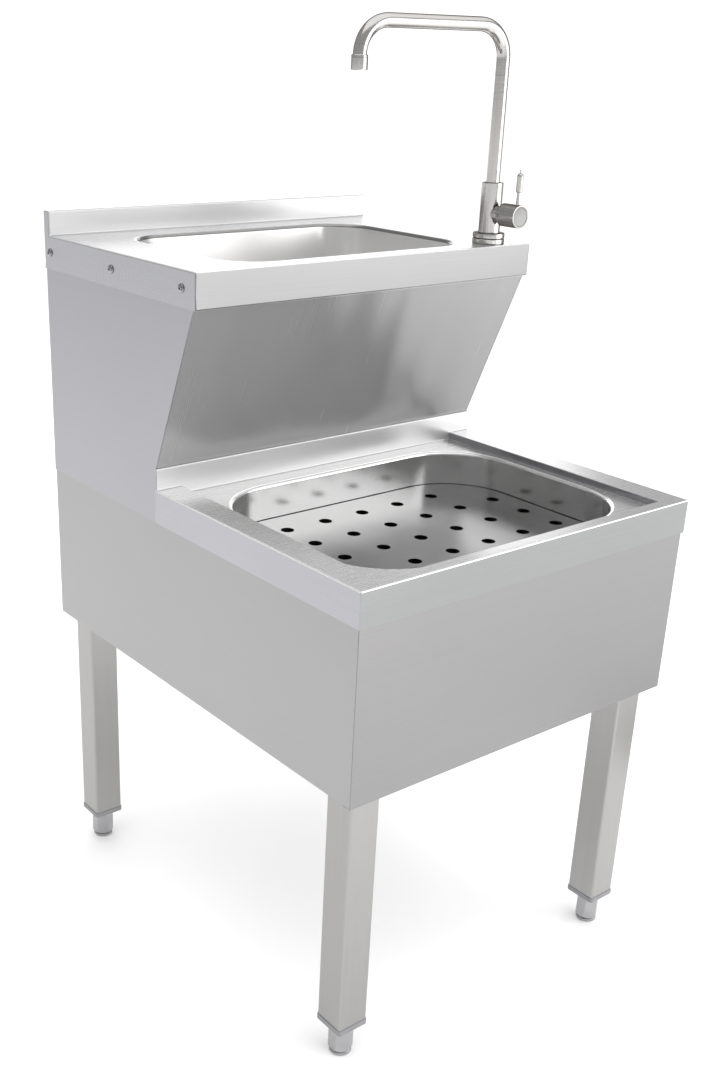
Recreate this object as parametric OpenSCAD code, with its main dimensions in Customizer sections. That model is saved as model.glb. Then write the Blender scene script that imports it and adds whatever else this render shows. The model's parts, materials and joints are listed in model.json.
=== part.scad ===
// Free-standing hand-wash basin joined to a lower slop sink, in folded stainless sheet on four legs.
// Millimetres. X is the width, the front faces -Y, +Z is up. The origin is on the floor, in the middle.

/* [Stand] */
// Width over the aprons
width = 500; // [480:5:650]
// Depth over all, front apron to back
depth = 615; // [600:5:760]
// Height of the upper worktop
upper_h = 850; // [800:5:1000]
// Height of the lower worktop
lower_h = 592; // [540:1:620]
// Depth of the upper worktop
upper_depth = 333; // [320:1:420]
// Distance from the back to the front face of the lower upstand
wall_depth = 252; // [240:1:300]
// Height of the skirt's lower edge
skirt_h = 349; // [300:1:365]
// Thickness of the sheet
sheet = 1.2; // [0.8:0.1:2]

/* [Upper worktop] */
// Height of the apron
apron_h = 40; // [30:1:50]
// Height of the rear upstand
upstand_h = 29; // [15:1:60]
// Thickness of the rear upstand
upstand_t = 13; // [8:1:20]
// Drop of the folded sheet behind the upstand
back_drop = 30; // [10:1:38]
// Hem that is turned in under the front apron
apron_lip = 4; // [2:0.5:4]

/* [Hand basin] */
// Length of the basin opening, left to right
basin_w = 350; // [300:1:360]
// Width of the basin opening, front to back
basin_d = 240; // [180:1:245]
// Depth of the basin
basin_depth = 135; // [100:1:150]
// Corner radius of the opening
basin_r = 50; // [30:1:70]
// Amount that each wall leans in over the depth
basin_lean = 25; // [10:1:35]
// Distance from the back to the middle of the basin
basin_back = 182; // [180:1:200]
// Width of the basin's flange under the worktop
flange_w = 8; // [5:1:10]

/* [Lower worktop] */
// Width of the raised border at the left and right
border_side = 35; // [25:1:40]
// Width of the raised border at the front
border_front = 17; // [10:1:30]
// Depth of the step from the border down to the deck
recess = 9; // [5:1:15]
// Height of the lower upstand above the border
low_upstand_h = 25; // [15:1:40]
// Thickness of the lower upstand
low_upstand_t = 3; // [2.5:0.5:6]

/* [Slop bowl] */
// Length of the bowl opening, left to right
bowl_w = 410; // [340:1:412]
// Width of the bowl opening, front to back
bowl_d = 300; // [240:1:310]
// Depth of the bowl below the deck
bowl_depth = 200; // [160:1:205]
// Corner radius of the bowl
bowl_r = 85; // [72:1:110]
// Deck left in front of the bowl
bowl_gap = 15; // [12:1:20]

/* [Strainer plate] */
// Depth of the plate's upper face below the deck
plate_drop = 43; // [30:1:80]
// Thickness of the plate
plate_t = 1.5; // [1:0.1:3]
// Gap between the plate and the bowl wall
plate_gap = 2; // [1:0.5:4]
// Diameter of the holes
plate_hole = 16; // [8:0.5:20]
// Holes in a row, left to right
plate_cols = 7; // [4:1:9]
// Rows of holes, front to back
plate_rows = 5; // [3:1:7]
// Distance between holes in a row
plate_pitch_x = 58; // [35:1:60]
// Distance between rows
plate_pitch_y = 53; // [35:1:55]
// Gap between the plate and the lugs that carry it
seat_gap = 0.3; // [0.3:0.1:0.6]
// Width of a lug
lug_w = 24; // [16:1:40]
// Reach of a lug into the bowl
lug_reach = 11; // [8:1:14]

/* [Wastes] */
// Diameter of the hand basin's waste thread
hand_thread = 41.9; // [33:0.1:48]
// Diameter of the slop bowl's waste thread
slop_thread = 59.6; // [42:0.1:60]
// Wall of a waste tailpiece
waste_wall = 3; // [2:0.5:4]
// Length of a tailpiece below the bowl
tail_len = 62; // [50:1:90]
// Thickness of a waste gasket
gasket_t = 2; // [1:0.5:4]
// Diameter of the holes in a waste strainer
strain_hole = 3.6; // [2:0.2:3.8]
// Distance between the rings of holes
strain_pitch = 5.6; // [4.6:0.2:8]

/* [Legs] */
// Outside width of the square leg tube
leg_w = 40; // [30:1:42]
// Wall of the leg tube
leg_wall = 1.5; // [1:0.1:3]
// Corner radius of the leg tube
leg_r = 3; // [2:0.5:5]
// Distance from the skirt's outer face to the leg
leg_inset = 14; // [13.5:0.5:18]
// Height of the lower end of the leg tube
leg_bottom = 48; // [40:1:60]
// Length of a leg bracket
bracket_h = 60; // [40:1:80]
// Width of a leg bracket
bracket_w = 24; // [16:1:30]

/* [Rear rails] */
// Height of the rail between the side panels
upper_rail_h = 60; // [30:1:120]
// Height of the rail between the skirts
lower_rail_h = 80; // [30:1:120]

/* [Feet] */
// Thickness of the plug's flange
plug_flange = 7; // [4:0.5:9]
// Length of the plug inside the tube
plug_len = 26; // [20:1:40]
// Width of the foot across its corners
foot_d = 30; // [24:1:34]
// Height of the round pad under the foot
pad_h = 4; // [3:0.5:6]
// Gap between the foot and the plug when it is screwed right in
foot_gap = 0.5; // [0.3:0.1:2]
// Diameter of the foot's screw
stud_d = 10; // [8:1:12]
// Length of the foot's screw
stud_len = 55; // [45:1:60]

/* [Apron screws] */
// Diameter of a screw head
head_d = 10; // [8:0.5:12]
// Height of a domed head
head_h = 2.6; // [2:0.1:4]
// Diameter of a screw
screw_d = 4; // [3:0.5:5]
// Distance from the back to the rear screw
screw_back = 14; // [12:1:30]
// Distance from the front to the front screw
screw_front = 27; // [20:1:40]

/* [Tap] */
// Distance of the tap from the right-hand edge
tap_side = 49; // [40:1:60]
// Distance of the tap from the front edge
tap_front = 25; // [24:1:30]
// Diameter of the two base rings
ring_d = 39; // [34:1:42]
// Height of the lower base ring
ring_h = 6; // [4:0.5:10]
// Thickness of the seal between the rings
seal_t = 0.8; // [0.5:0.1:1.5]
// Diameter of the tap body
body_d = 26; // [24:1:30]
// Height of the tap body above the worktop
body_h = 72; // [60:1:100]
// Diameter of the shank under the worktop
shank_d = 26; // [24:1:28]
// Length of the shank below the worktop
shank_len = 36; // [30:1:38]
// Diameter of the spout tube
spout_d = 16; // [12:1:18]
// Wall of the spout tube
spout_wall = 1.2; // [1:0.1:2]
// Height of the spout's horizontal run above the worktop
spout_h = 248; // [180:1:320]
// Reach of the spout
spout_reach = 200; // [140:1:240]
// Bend radius of the spout
spout_r = 36; // [28:1:50]
// Turn of the spout at rest, from straight across towards the back
spout_yaw = 8; // [0:1:30]
// Diameter of the aerator collar
collar_d = 19; // [19:0.5:24]
// Height of the aerator collar
collar_h = 16; // [12:1:20]

/* [Handle] */
// Height of the handle's axis above the worktop
valve_h = 36; // [32:1:40]
// Diameter of the boss on the tap body
boss_d = 19; // [17:0.5:19]
// Distance from the tap's axis to the end of the boss
boss_reach = 22; // [20:1:24]
// Diameter of the handle cap
cap_d = 27; // [27:0.5:34]
// Distance from the tap's axis to the front of the cap
cap_reach = 50; // [46:1:60]
// Height of the lever grip's upper end above the handle's axis
lever_len = 50; // [40:1:80]
// Length of the lever grip
grip_h = 22; // [16:1:24]
// Diameter of the lever rod
lever_d = 5; // [4:0.5:6]
// Diameter of the lever grip
grip_d = 7.5; // [6:0.5:9]

/* [Fits] */
// Radial clearance of a turning or screwed fit
run = 0.05; // [0.03:0.01:0.08]
// Radial clearance of a fastener in its hole
loose = 0.25; // [0.1:0.05:0.4]

/* [Hidden] */
$fn = 64;

front_y = -depth / 2;
// y of a place that lies d in front of the back
function from_back(d) = depth / 2 - d;

// Sheet planes, measured from the middle outwards
half_w = width / 2;
panel_x = half_w - sheet;
skirt_x = half_w - 2 * sheet;
skirt_front_d = depth - 2 * sheet;
lower_apron_t = 2 * sheet;
skirt_lip = 12;
skirt_top_gap = 4;

// Heights
deck_z = lower_h - recess;
upper_under = upper_h - sheet;
deck_under = deck_z - sheet;
apron_bottom = upper_h - apron_h;
low_apron_bottom = lower_h - apron_h;
low_upstand_top = lower_h + low_upstand_h;
skirt_top = deck_under - skirt_top_gap;

// Lower worktop
recess_w = width - 2 * border_side;
recess_front = depth - border_front;
bowl_mid = recess_front - bowl_gap - bowl_d / 2;
bowl_floor = deck_z - bowl_depth;
low_back = wall_depth - low_upstand_t;

// Sloping panel: its upper end hides behind the front apron
slope_top_d = upper_depth - sheet - apron_lip - 0.6;
slope_flange_h = 20;

// Basin
basin_floor = upper_h - basin_depth;
basin_y = from_back(basin_back);
bowl_y = from_back(bowl_mid);

// Legs
leg_x = skirt_x - leg_inset - leg_w / 2;
leg_front_y = from_back(skirt_front_d - leg_inset - leg_w / 2);
leg_rear_y = from_back(leg_inset + leg_w / 2);
leg_top = skirt_top;
LEGS = [[-leg_x, leg_front_y], [leg_x, leg_front_y], [-leg_x, leg_rear_y], [leg_x, leg_rear_y]];
plug_bottom = leg_bottom - plug_flange;

// Apron screws
screw_z = upper_h - apron_h / 2;
screw_mid = (screw_back + upper_depth - screw_front) / 2;
SCREWS = [screw_back, screw_mid, upper_depth - screw_front];
nut_t = 3.5;
nut_d = 8;

// Tap
tap_x = half_w - tap_side;
tap_y = from_back(upper_depth - tap_front);
ring_top = upper_h + ring_h;
body_foot = ring_top + seal_t;
shank_bottom = upper_under - shank_len;
valve_z = upper_h + valve_h;
stub_d = 19;
stub_bottom = upper_h + body_h - 21;
stub_top = upper_h + body_h + 0.4;
groove_h = 2;
GROOVES = [5, 11];
tap_nut_h = 8;
tap_washer_t = 2;
bend_z = upper_h + spout_h - spout_r;
collar_top = bend_z - 0.3;

// Handle: the cap's rim laps the end of the boss, and the pin lies just in front of the boss
cartridge_z = 8;
cap_in = cap_d / 2 - 1.5;
cap_back = boss_reach - 1;
cap_face_t = 11;
disc_seat = 2;
pin_reach = boss_reach + 3.5;
pin_d = 3;
spindle_d = 7;
spindle_back = cartridge_z + 4.2;
lever_reach = cap_reach - 6;
rod_root = 4.2;

// Wastes: the free end lies below the nut and a shallow relief groove
waste_nut_h = 8;
relief_h = 2;
tail_free = tail_len - 18;

// ---------------------------------------------------------------- shapes

// Rounded rectangle, centred, with true arcs
module rounded(w, d, r) {
    square([w - 2 * r, d], center = true);
    square([w, d - 2 * r], center = true);
    for (x = [-1, 1])
        for (y = [-1, 1])
            translate([x * (w / 2 - r), y * (d / 2 - r)]) circle(r);
}

module rounded_block(w, d, r, h) {
    linear_extrude(h) rounded(w, d, r);
}

// Box between two x, two distances from the back, and two heights
module box(x, d, z) {
    translate([x[0], from_back(d[1]), z[0]])
        cube([x[1] - x[0], d[1] - d[0], z[1] - z[0]]);
}

module tube(r_out, r_in, h) {
    difference() {
        cylinder(r = r_out, h = h);
        translate([0, 0, -1]) cylinder(r = r_in, h = h + 2);
    }
}

// Places children on the handle's axis: local Z runs out of the boss, towards the front
module on_valve() {
    translate([tap_x, tap_y, valve_z]) rotate([90, 0, 0]) children();
}

// Hexagonal nut around a round hole
module nut(across, r_in, h) {
    difference() {
        cylinder(d = across, h = h, $fn = 6);
        translate([0, 0, -1]) cylinder(r = r_in, h = h + 2);
    }
}

// ---------------------------------------------------------------- upper worktop

module screw_holes() {
    for (d = SCREWS)
        translate([0, from_back(d), screw_z]) rotate([0, 90, 0])
            cylinder(d = screw_d + 2 * loose, h = width + 20, center = true);
}

module upper_top() {
    upstand_top = upper_h + upstand_h;
    apron_in = upper_depth - sheet;
    color("gainsboro") difference() {
        union() {
            box([-half_w, half_w], [0, upper_depth], [upper_under, upper_h]);
            // front apron with its hem, and the side aprons
            box([-half_w, half_w], [apron_in, upper_depth], [apron_bottom, upper_h]);
            box([-panel_x, panel_x], [apron_in - apron_lip, upper_depth], [apron_bottom, apron_bottom + sheet]);
            box([-half_w, -panel_x], [0, upper_depth], [apron_bottom, upper_h]);
            box([panel_x, half_w], [0, upper_depth], [apron_bottom, upper_h]);
            // upstand folded as a channel, with closed ends
            box([-half_w, half_w], [upstand_t - sheet, upstand_t], [upper_under, upstand_top]);
            box([-half_w, half_w], [0, upstand_t], [upstand_top - sheet, upstand_top]);
            box([-half_w, half_w], [0, sheet], [upper_h - back_drop, upstand_top]);
            box([-half_w, -panel_x], [0, upstand_t], [upper_under, upstand_top]);
            box([panel_x, half_w], [0, upstand_t], [upper_under, upstand_top]);
        }
        translate([0, basin_y, upper_under - 1]) rounded_block(basin_w, basin_d, basin_r, sheet + 2);
        translate([tap_x, tap_y, upper_under - 1]) cylinder(d = shank_d + 2 * loose, h = sheet + 2);
        screw_holes();
    }
}

// Solid tapered block of the basin, grown by t and cut off at height h
module basin_solid(t, floor_z, top_z) {
    hull() {
        translate([0, basin_y, top_z - 0.01])
            rounded_block(basin_w + 2 * t, basin_d + 2 * t, basin_r + t, 0.01, $fn = 32);
        translate([0, basin_y, floor_z])
            rounded_block(basin_w - 2 * basin_lean + 2 * t, basin_d - 2 * basin_lean + 2 * t,
                          basin_r - 8 + t, 0.01, $fn = 32);
    }
}

module hand_basin() {
    color("silver") difference() {
        union() {
            basin_solid(sheet, basin_floor - sheet, upper_under);
            translate([0, basin_y, upper_under - sheet])
                rounded_block(basin_w + 2 * flange_w, basin_d + 2 * flange_w, basin_r + flange_w, sheet);
        }
        basin_solid(0, basin_floor, upper_h);
        translate([0, basin_y, basin_floor - sheet - 1]) cylinder(d = hand_thread + 2 * loose, h = sheet + 2);
    }
}

// ---------------------------------------------------------------- lower worktop

module slop_top() {
    recess_x = recess_w / 2;
    apron_in = half_w - lower_apron_t;
    color("gainsboro") difference() {
        union() {
            // raised border
            box([-half_w, -recess_x], [low_back, depth], [lower_h - sheet, lower_h]);
            box([recess_x, half_w], [low_back, depth], [lower_h - sheet, lower_h]);
            box([-half_w, half_w], [recess_front, depth], [lower_h - sheet, lower_h]);
            // step down to the deck
            box([-recess_x - sheet, -recess_x], [low_back, recess_front + sheet], [deck_under, lower_h]);
            box([recess_x, recess_x + sheet], [low_back, recess_front + sheet], [deck_under, lower_h]);
            box([-recess_x, recess_x], [recess_front, recess_front + sheet], [deck_under, lower_h]);
            box([-recess_x, recess_x], [low_back, recess_front], [deck_under, deck_z]);
            // upstand and hemmed aprons
            box([-half_w, half_w], [low_back, wall_depth], [lower_h - sheet, low_upstand_top]);
            box([-recess_x, recess_x], [low_back, wall_depth], [deck_under, low_upstand_top]);
            box([-half_w, half_w], [depth - lower_apron_t, depth], [low_apron_bottom, lower_h]);
            box([-half_w, -apron_in], [low_back, depth], [low_apron_bottom, lower_h]);
            box([apron_in, half_w], [low_back, depth], [low_apron_bottom, lower_h]);
        }
        translate([0, bowl_y, deck_under - 1]) rounded_block(bowl_w, bowl_d, bowl_r, sheet + 2);
    }
}

module slop_bowl() {
    color("silver") difference() {
        union() {
            translate([0, bowl_y, bowl_floor - sheet])
                rounded_block(bowl_w + 2 * sheet, bowl_d + 2 * sheet, bowl_r + sheet, bowl_depth);
            translate([0, bowl_y, deck_under - sheet])
                rounded_block(bowl_w + 2 * flange_w, bowl_d + 2 * flange_w, bowl_r + flange_w, sheet);
        }
        translate([0, bowl_y, bowl_floor]) rounded_block(bowl_w, bowl_d, bowl_r, bowl_depth);
        translate([0, bowl_y, bowl_floor - sheet - 1]) cylinder(d = slop_thread + 2 * loose, h = sheet + 2);
    }
}

// The four corner holes are left out, where the plate is rounded
module strainer_plate() {
    color("lightgray") translate([0, bowl_y, deck_z - plate_drop - plate_t]) difference() {
        rounded_block(bowl_w - 2 * plate_gap, bowl_d - 2 * plate_gap, bowl_r - plate_gap, plate_t);
        for (i = [0:plate_cols - 1])
            for (j = [0:plate_rows - 1]) {
                corner = (i == 0 || i == plate_cols - 1) && (j == 0 || j == plate_rows - 1);
                if (!corner)
                    translate([(i - (plate_cols - 1) / 2) * plate_pitch_x,
                               (j - (plate_rows - 1) / 2) * plate_pitch_y, -1])
                        cylinder(d = plate_hole, h = plate_t + 2);
            }
    }
}

// One lug: a folded angle against the wall, seen with the wall at y = 0 and the bowl towards +y
module lug() {
    lug_t = 2;
    drop = 14;
    translate([-lug_w / 2, 0, -lug_t]) cube([lug_w, lug_reach, lug_t]);
    translate([-lug_w / 2, 0, -drop]) cube([lug_w, lug_t, drop]);
}

module plate_lugs() {
    lug_z = deck_z - plate_drop - plate_t - seat_gap;
    color("darkgray") {
        for (x = [-1, 1])
            for (y = [-1, 1])
                translate([x * bowl_w / 4.5, bowl_y - y * bowl_d / 2, lug_z]) rotate([0, 0, y > 0 ? 0 : 180]) lug();
        for (x = [-1, 1])
            translate([x * bowl_w / 2, bowl_y, lug_z]) rotate([0, 0, x * 90]) lug();
    }
}

// ---------------------------------------------------------------- panels

module skirt_front() {
    color("silver") {
        box([-skirt_x, skirt_x], [skirt_front_d - sheet, skirt_front_d], [skirt_h, skirt_top]);
        box([-skirt_x + skirt_lip, skirt_x - skirt_lip], [skirt_front_d - skirt_lip, skirt_front_d],
            [skirt_h, skirt_h + sheet]);
    }
}

module skirt_side(side) {
    end_d = skirt_front_d - sheet;
    color("silver") mirror([side > 0 ? 1 : 0, 0, 0]) {
        box([-skirt_x, -skirt_x + sheet], [sheet, end_d], [skirt_h, skirt_top]);
        box([-skirt_x, -skirt_x + skirt_lip], [sheet, end_d], [skirt_h, skirt_h + sheet]);
    }
}

module skirt_left() { skirt_side(-1); }
module skirt_right() { skirt_side(1); }

// Trapezium that widens upwards, from the lower apron's edge to the upper worktop
module side_panel(side) {
    outline = [
        [sheet, low_apron_bottom], [low_back, low_apron_bottom], [low_back, low_upstand_top],
        [slope_top_d, apron_bottom], [slope_top_d, upper_under], [sheet, upper_under]
    ];
    color("lightsteelblue") mirror([side > 0 ? 1 : 0, 0, 0]) difference() {
        translate([-panel_x, 0, 0]) rotate([90, 0, 90])
            linear_extrude(sheet) polygon([for (p = outline) [from_back(p[0]), p[1]]]);
        screw_holes();
    }
}

module side_panel_left() { side_panel(-1); }
module side_panel_right() { side_panel(1); }

// Folded sheet: a foot behind the lower upstand, the slope, and a flange behind the upper apron
module slope_panel() {
    foot_z = low_upstand_top - 30;
    front_edge = [[low_back, foot_z], [low_back, low_upstand_top], [slope_top_d, apron_bottom],
                  [slope_top_d, apron_bottom + slope_flange_h]];
    back_edge = [[slope_top_d - sheet, apron_bottom + slope_flange_h], [slope_top_d - sheet, apron_bottom],
                 [low_back - sheet, low_upstand_top], [low_back - sheet, foot_z]];
    color("silver") translate([-skirt_x, 0, 0]) rotate([90, 0, 90])
        linear_extrude(2 * skirt_x) polygon([for (p = concat(front_edge, back_edge)) [from_back(p[0]), p[1]]]);
}

// Channel across the back, between two planes at x = -half and x = +half
module rear_rail(half, z0, h) {
    color("silver") {
        box([-half, half], [sheet, 2 * sheet], [z0, z0 + h]);
        box([-half, half], [sheet, leg_inset], [z0, z0 + sheet]);
        box([-half, half], [sheet, leg_inset], [z0 + h - sheet, z0 + h]);
    }
}

// The upper rail passes just under the rear apron nuts
module rear_rail_upper() { rear_rail(skirt_x, screw_z - nut_d / 2 - 2 - upper_rail_h, upper_rail_h); }

// The lower rail stands on the skirts' lips, between the skirts, and its flanges reach the rear legs
module rear_rail_lower() { rear_rail(skirt_x - sheet, skirt_h + sheet, lower_rail_h); }

// ---------------------------------------------------------------- fasteners

module apron_screws() {
    sphere_r = (head_d * head_d / 4 + head_h * head_h) / (2 * head_h);
    color("gray")
        for (side = [-1, 1])
            for (d = SCREWS)
                translate([side * half_w, from_back(d), screw_z]) rotate([0, side * 90, 0]) {
                    intersection() {
                        translate([0, 0, head_h - sphere_r]) sphere(sphere_r);
                        cylinder(d = head_d + 1, h = head_h);
                    }
                    translate([0, 0, -2 * sheet - nut_t - 1]) cylinder(d = screw_d, h = 2 * sheet + nut_t + 1.5);
                }
}

module apron_nuts() {
    color("dimgray")
        for (side = [-1, 1])
            for (d = SCREWS)
                translate([side * skirt_x, from_back(d), screw_z]) rotate([0, -side * 90, 0])
                    nut(nut_d, screw_d / 2 + run, nut_t);
}

// ---------------------------------------------------------------- legs and feet

// Square tube, closed at the top by a welded plate
module leg(i) {
    bore_w = leg_w - 2 * leg_wall;
    bore_r = max(leg_r - leg_wall, 0.5);
    color("silver") translate([LEGS[i][0], LEGS[i][1], leg_bottom]) difference() {
        rounded_block(leg_w, leg_w, leg_r, leg_top - leg_bottom);
        translate([0, 0, -1]) rounded_block(bore_w, bore_w, bore_r, leg_top - leg_bottom - leg_wall + 1);
    }
}

module leg_front_left() { leg(0); }
module leg_front_right() { leg(1); }
module leg_rear_left() { leg(2); }
module leg_rear_right() { leg(3); }

// Square plug with a threaded insert for the foot's screw
module plug(i) {
    spigot = leg_w - 2 * leg_wall - 0.4;
    color("darkgray") translate([LEGS[i][0], LEGS[i][1], plug_bottom]) difference() {
        union() {
            rounded_block(leg_w + 2, leg_w + 2, leg_r + 1, plug_flange);
            rounded_block(spigot, spigot, 2, plug_flange + plug_len);
        }
        translate([0, 0, -1]) cylinder(d = stud_d + 2 * run, h = plug_flange + plug_len + 2);
    }
}

module plug_front_left() { plug(0); }
module plug_front_right() { plug(1); }
module plug_rear_left() { plug(2); }
module plug_rear_right() { plug(3); }

module foot(i) {
    hex_top = plug_bottom - foot_gap;
    color("gray") translate([LEGS[i][0], LEGS[i][1], 0]) {
        cylinder(d = foot_d - 4, h = pad_h + 1);
        translate([0, 0, pad_h]) cylinder(d = foot_d, h = hex_top - pad_h, $fn = 6);
        translate([0, 0, hex_top - 1]) cylinder(d = stud_d, h = stud_len + 1);
    }
}

module foot_front_left() { foot(0); }
module foot_front_right() { foot(1); }
module foot_rear_left() { foot(2); }
module foot_rear_right() { foot(3); }

// Short box section, w by d by bracket_h, open at its ends
module bracket(w, d) {
    difference() {
        cube([w, d, bracket_h], center = true);
        cube([w - 2 * leg_wall, d - 2 * leg_wall, bracket_h + 2], center = true);
    }
}

// Brackets fill the space between leg and skirt, beside every leg and in front of the front legs
module leg_brackets() {
    space = leg_inset - sheet;
    mid_z = leg_top - 20 - bracket_h / 2;
    out = (leg_w + space) / 2;
    color("silver")
        for (p = LEGS) {
            translate([p[0] + sign(p[0]) * out, p[1], mid_z]) bracket(space, bracket_w);
            if (p[1] < 0) translate([p[0], p[1] - out, mid_z]) bracket(bracket_w, space);
        }
}

// ---------------------------------------------------------------- wastes

// Every piece of a waste is built with the bowl floor's upper face at z = 0.
// The flange ends in a cup, whose floor has rings of holes round one in the middle
module waste_flange(thread) {
    lip = 9;
    cup_h = 5;
    cup_r = thread / 2 - waste_wall - 2;
    rings = floor((cup_r - 1 - strain_hole / 2) / strain_pitch);
    color("whitesmoke") difference() {
        union() {
            cylinder(d = thread + 2 * lip, h = 1.5);
            translate([0, 0, -cup_h]) cylinder(r = thread / 2 - waste_wall - 0.1, h = cup_h + 1);
        }
        translate([0, 0, -cup_h + 1.5]) cylinder(r = cup_r, h = cup_h + 2);
        for (ring = [0:rings])
            for (i = [0:max(6 * ring, 1) - 1])
                rotate([0, 0, i * 360 / max(6 * ring, 1)])
                    translate([ring * strain_pitch, 0, -cup_h - 1]) cylinder(d = strain_hole, h = 4);
    }
}

module waste_gasket(thread) {
    color("dimgray") translate([0, 0, -sheet - gasket_t]) tube(thread / 2 + 7, thread / 2 + run, gasket_t);
}

module waste_nut(thread) {
    color("gainsboro") translate([0, 0, -sheet - gasket_t - waste_nut_h])
        nut(thread + 16, thread / 2 + run, waste_nut_h);
}

module waste_tail(thread) {
    color("gainsboro") translate([0, 0, -tail_len]) difference() {
        tube(thread / 2, thread / 2 - waste_wall, tail_len);
        translate([0, 0, tail_free]) tube(thread, thread / 2 - waste_wall / 3, relief_h);
    }
}

module at_hand_waste() { translate([0, basin_y, basin_floor]) children(); }
module at_slop_waste() { translate([0, bowl_y, bowl_floor]) children(); }

module hand_waste_flange() { at_hand_waste() waste_flange(hand_thread); }
module hand_waste_gasket() { at_hand_waste() waste_gasket(hand_thread); }
module hand_waste_nut() { at_hand_waste() waste_nut(hand_thread); }
module hand_tailpiece() { at_hand_waste() waste_tail(hand_thread); }
module slop_waste_flange() { at_slop_waste() waste_flange(slop_thread); }
module slop_waste_gasket() { at_slop_waste() waste_gasket(slop_thread); }
module slop_waste_nut() { at_slop_waste() waste_nut(slop_thread); }
module slop_tailpiece() { at_slop_waste() waste_tail(slop_thread); }

// ---------------------------------------------------------------- tap

module at_tap(z) { translate([tap_x, tap_y, z]) children(); }

module tap_ring() {
    color("silver") at_tap(upper_h) tube(ring_d / 2, shank_d / 2 + loose, ring_h);
}

module tap_seal() {
    color("dimgray") at_tap(ring_top) tube(ring_d / 2 - 1, shank_d / 2 + loose, seal_t);
}

// Body, foot ring, shank and side boss in one casting
module tap_body() {
    foot_ring_h = 6;
    inlet_d = 9;
    inlet_gap = 13;
    color("silver") difference() {
        union() {
            at_tap(body_foot) cylinder(d = ring_d, h = foot_ring_h);
            at_tap(body_foot) cylinder(d = body_d, h = upper_h + body_h - body_foot);
            at_tap(shank_bottom) cylinder(d = shank_d, h = body_foot - shank_bottom + 1);
            on_valve() cylinder(d = boss_d, h = boss_reach);
        }
        at_tap(stub_bottom - 1) cylinder(d = stub_d + 2 * run, h = body_h);
        on_valve() translate([0, 0, cartridge_z]) cylinder(d = boss_d - 4, h = boss_reach);
        for (s = [-1, 1])
            at_tap(shank_bottom - 1) translate([s * inlet_gap / 2, 0, 0]) cylinder(d = inlet_d, h = 25);
    }
}

module tap_washer() {
    color("gray") at_tap(upper_under - tap_washer_t) tube(20, shank_d / 2 + loose, tap_washer_t);
}

module tap_locknut() {
    color("gold") at_tap(upper_under - tap_washer_t - tap_nut_h) nut(38, shank_d / 2 + run, tap_nut_h);
}

// Quarter bend of the spout tube, from +Z at the origin round to +X
module bend(r) {
    translate([spout_r, 0, 0]) rotate([90, 0, 0]) rotate([0, 0, 90])
        rotate_extrude(angle = 90) translate([spout_r, 0]) circle(r);
}

// Centre line filled to radius r, with both ends longer by extra
module spout_core(r, extra) {
    run_len = spout_reach - 2 * spout_r;
    translate([0, 0, stub_top - extra]) cylinder(r = r, h = bend_z - stub_top + extra);
    translate([0, 0, bend_z]) bend(r);
    translate([spout_r, 0, bend_z + spout_r]) rotate([0, 90, 0]) cylinder(r = r, h = run_len);
    translate([spout_reach, 0, bend_z]) mirror([1, 0, 0]) bend(r);
    translate([spout_reach, 0, bend_z - 10 - extra]) cylinder(r = r, h = 10 + extra);
}

module on_spout() { at_tap(0) rotate([0, 0, 180 - spout_yaw]) children(); }

module spout() {
    color("silver") on_spout() difference() {
        spout_core(spout_d / 2, 0);
        spout_core(spout_d / 2 - spout_wall, 1);
    }
}

// Machined end that turns in the body, with two grooves for the O-rings
module spout_stub() {
    stub_h = stub_top - stub_bottom;
    color("gainsboro") at_tap(stub_bottom) difference() {
        cylinder(d = stub_d, h = stub_h);
        translate([0, 0, -1]) cylinder(r = spout_d / 2 - spout_wall, h = stub_h + 2);
        for (z = GROOVES) translate([0, 0, z - groove_h / 2]) tube(stub_d, stub_d / 2 - 1.2, groove_h);
    }
}

module spout_o_rings() {
    color("black")
        for (z = GROOVES)
            at_tap(stub_bottom + z) rotate_extrude() translate([stub_d / 2 - 0.6, 0]) circle(0.55, $fn = 24);
}

module at_spout_tip(z) { on_spout() translate([spout_reach, 0, z]) children(); }

module aerator_collar() {
    color("silver") at_spout_tip(collar_top - collar_h) difference() {
        cylinder(d = collar_d, h = collar_h);
        translate([0, 0, -1]) cylinder(d = collar_d - 3, h = 4);
        translate([0, 0, 2.9]) cylinder(d = spout_d + 0.1, h = collar_h);
    }
}

module aerator_insert() {
    holes = 5;
    pitch = 1.5;
    grid_r = collar_d / 2 - 1.6;
    color("white") at_spout_tip(collar_top - collar_h + 0.6) difference() {
        cylinder(r = grid_r, h = 2);
        for (x = [-holes:holes])
            for (y = [-holes:holes])
                if (norm([x, y]) * pitch < grid_r - 1.2)
                    translate([x * pitch, y * pitch, -1]) cylinder(d = 1, h = 4, $fn = 16);
    }
}

// ---------------------------------------------------------------- handle

module cartridge() {
    color("ivory") on_valve() translate([0, 0, cartridge_z]) difference() {
        cylinder(d = boss_d - 4.2, h = boss_reach - cartridge_z - 2);
        translate([0, 0, 4]) cylinder(d = spindle_d + 2 * run, h = boss_reach);
    }
}

module cartridge_ring() {
    color("gold") on_valve() translate([0, 0, boss_reach - 2]) tube(boss_d / 2 - 2.1, spindle_d / 2 + loose, 2);
}

// Turns in the cartridge and carries the cross pin
module spindle() {
    color("gainsboro") on_valve() difference() {
        translate([0, 0, spindle_back]) cylinder(d = spindle_d, h = pin_reach + 3 - spindle_back);
        translate([0, 0, pin_reach]) rotate([0, 90, 0]) cylinder(d = pin_d + 2 * run, h = cap_d, center = true);
    }
}

module cross_pin() {
    color("gray") on_valve() translate([0, 0, pin_reach]) rotate([0, 90, 0])
        cylinder(d = pin_d, h = cap_d - 0.6, center = true);
}

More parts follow.
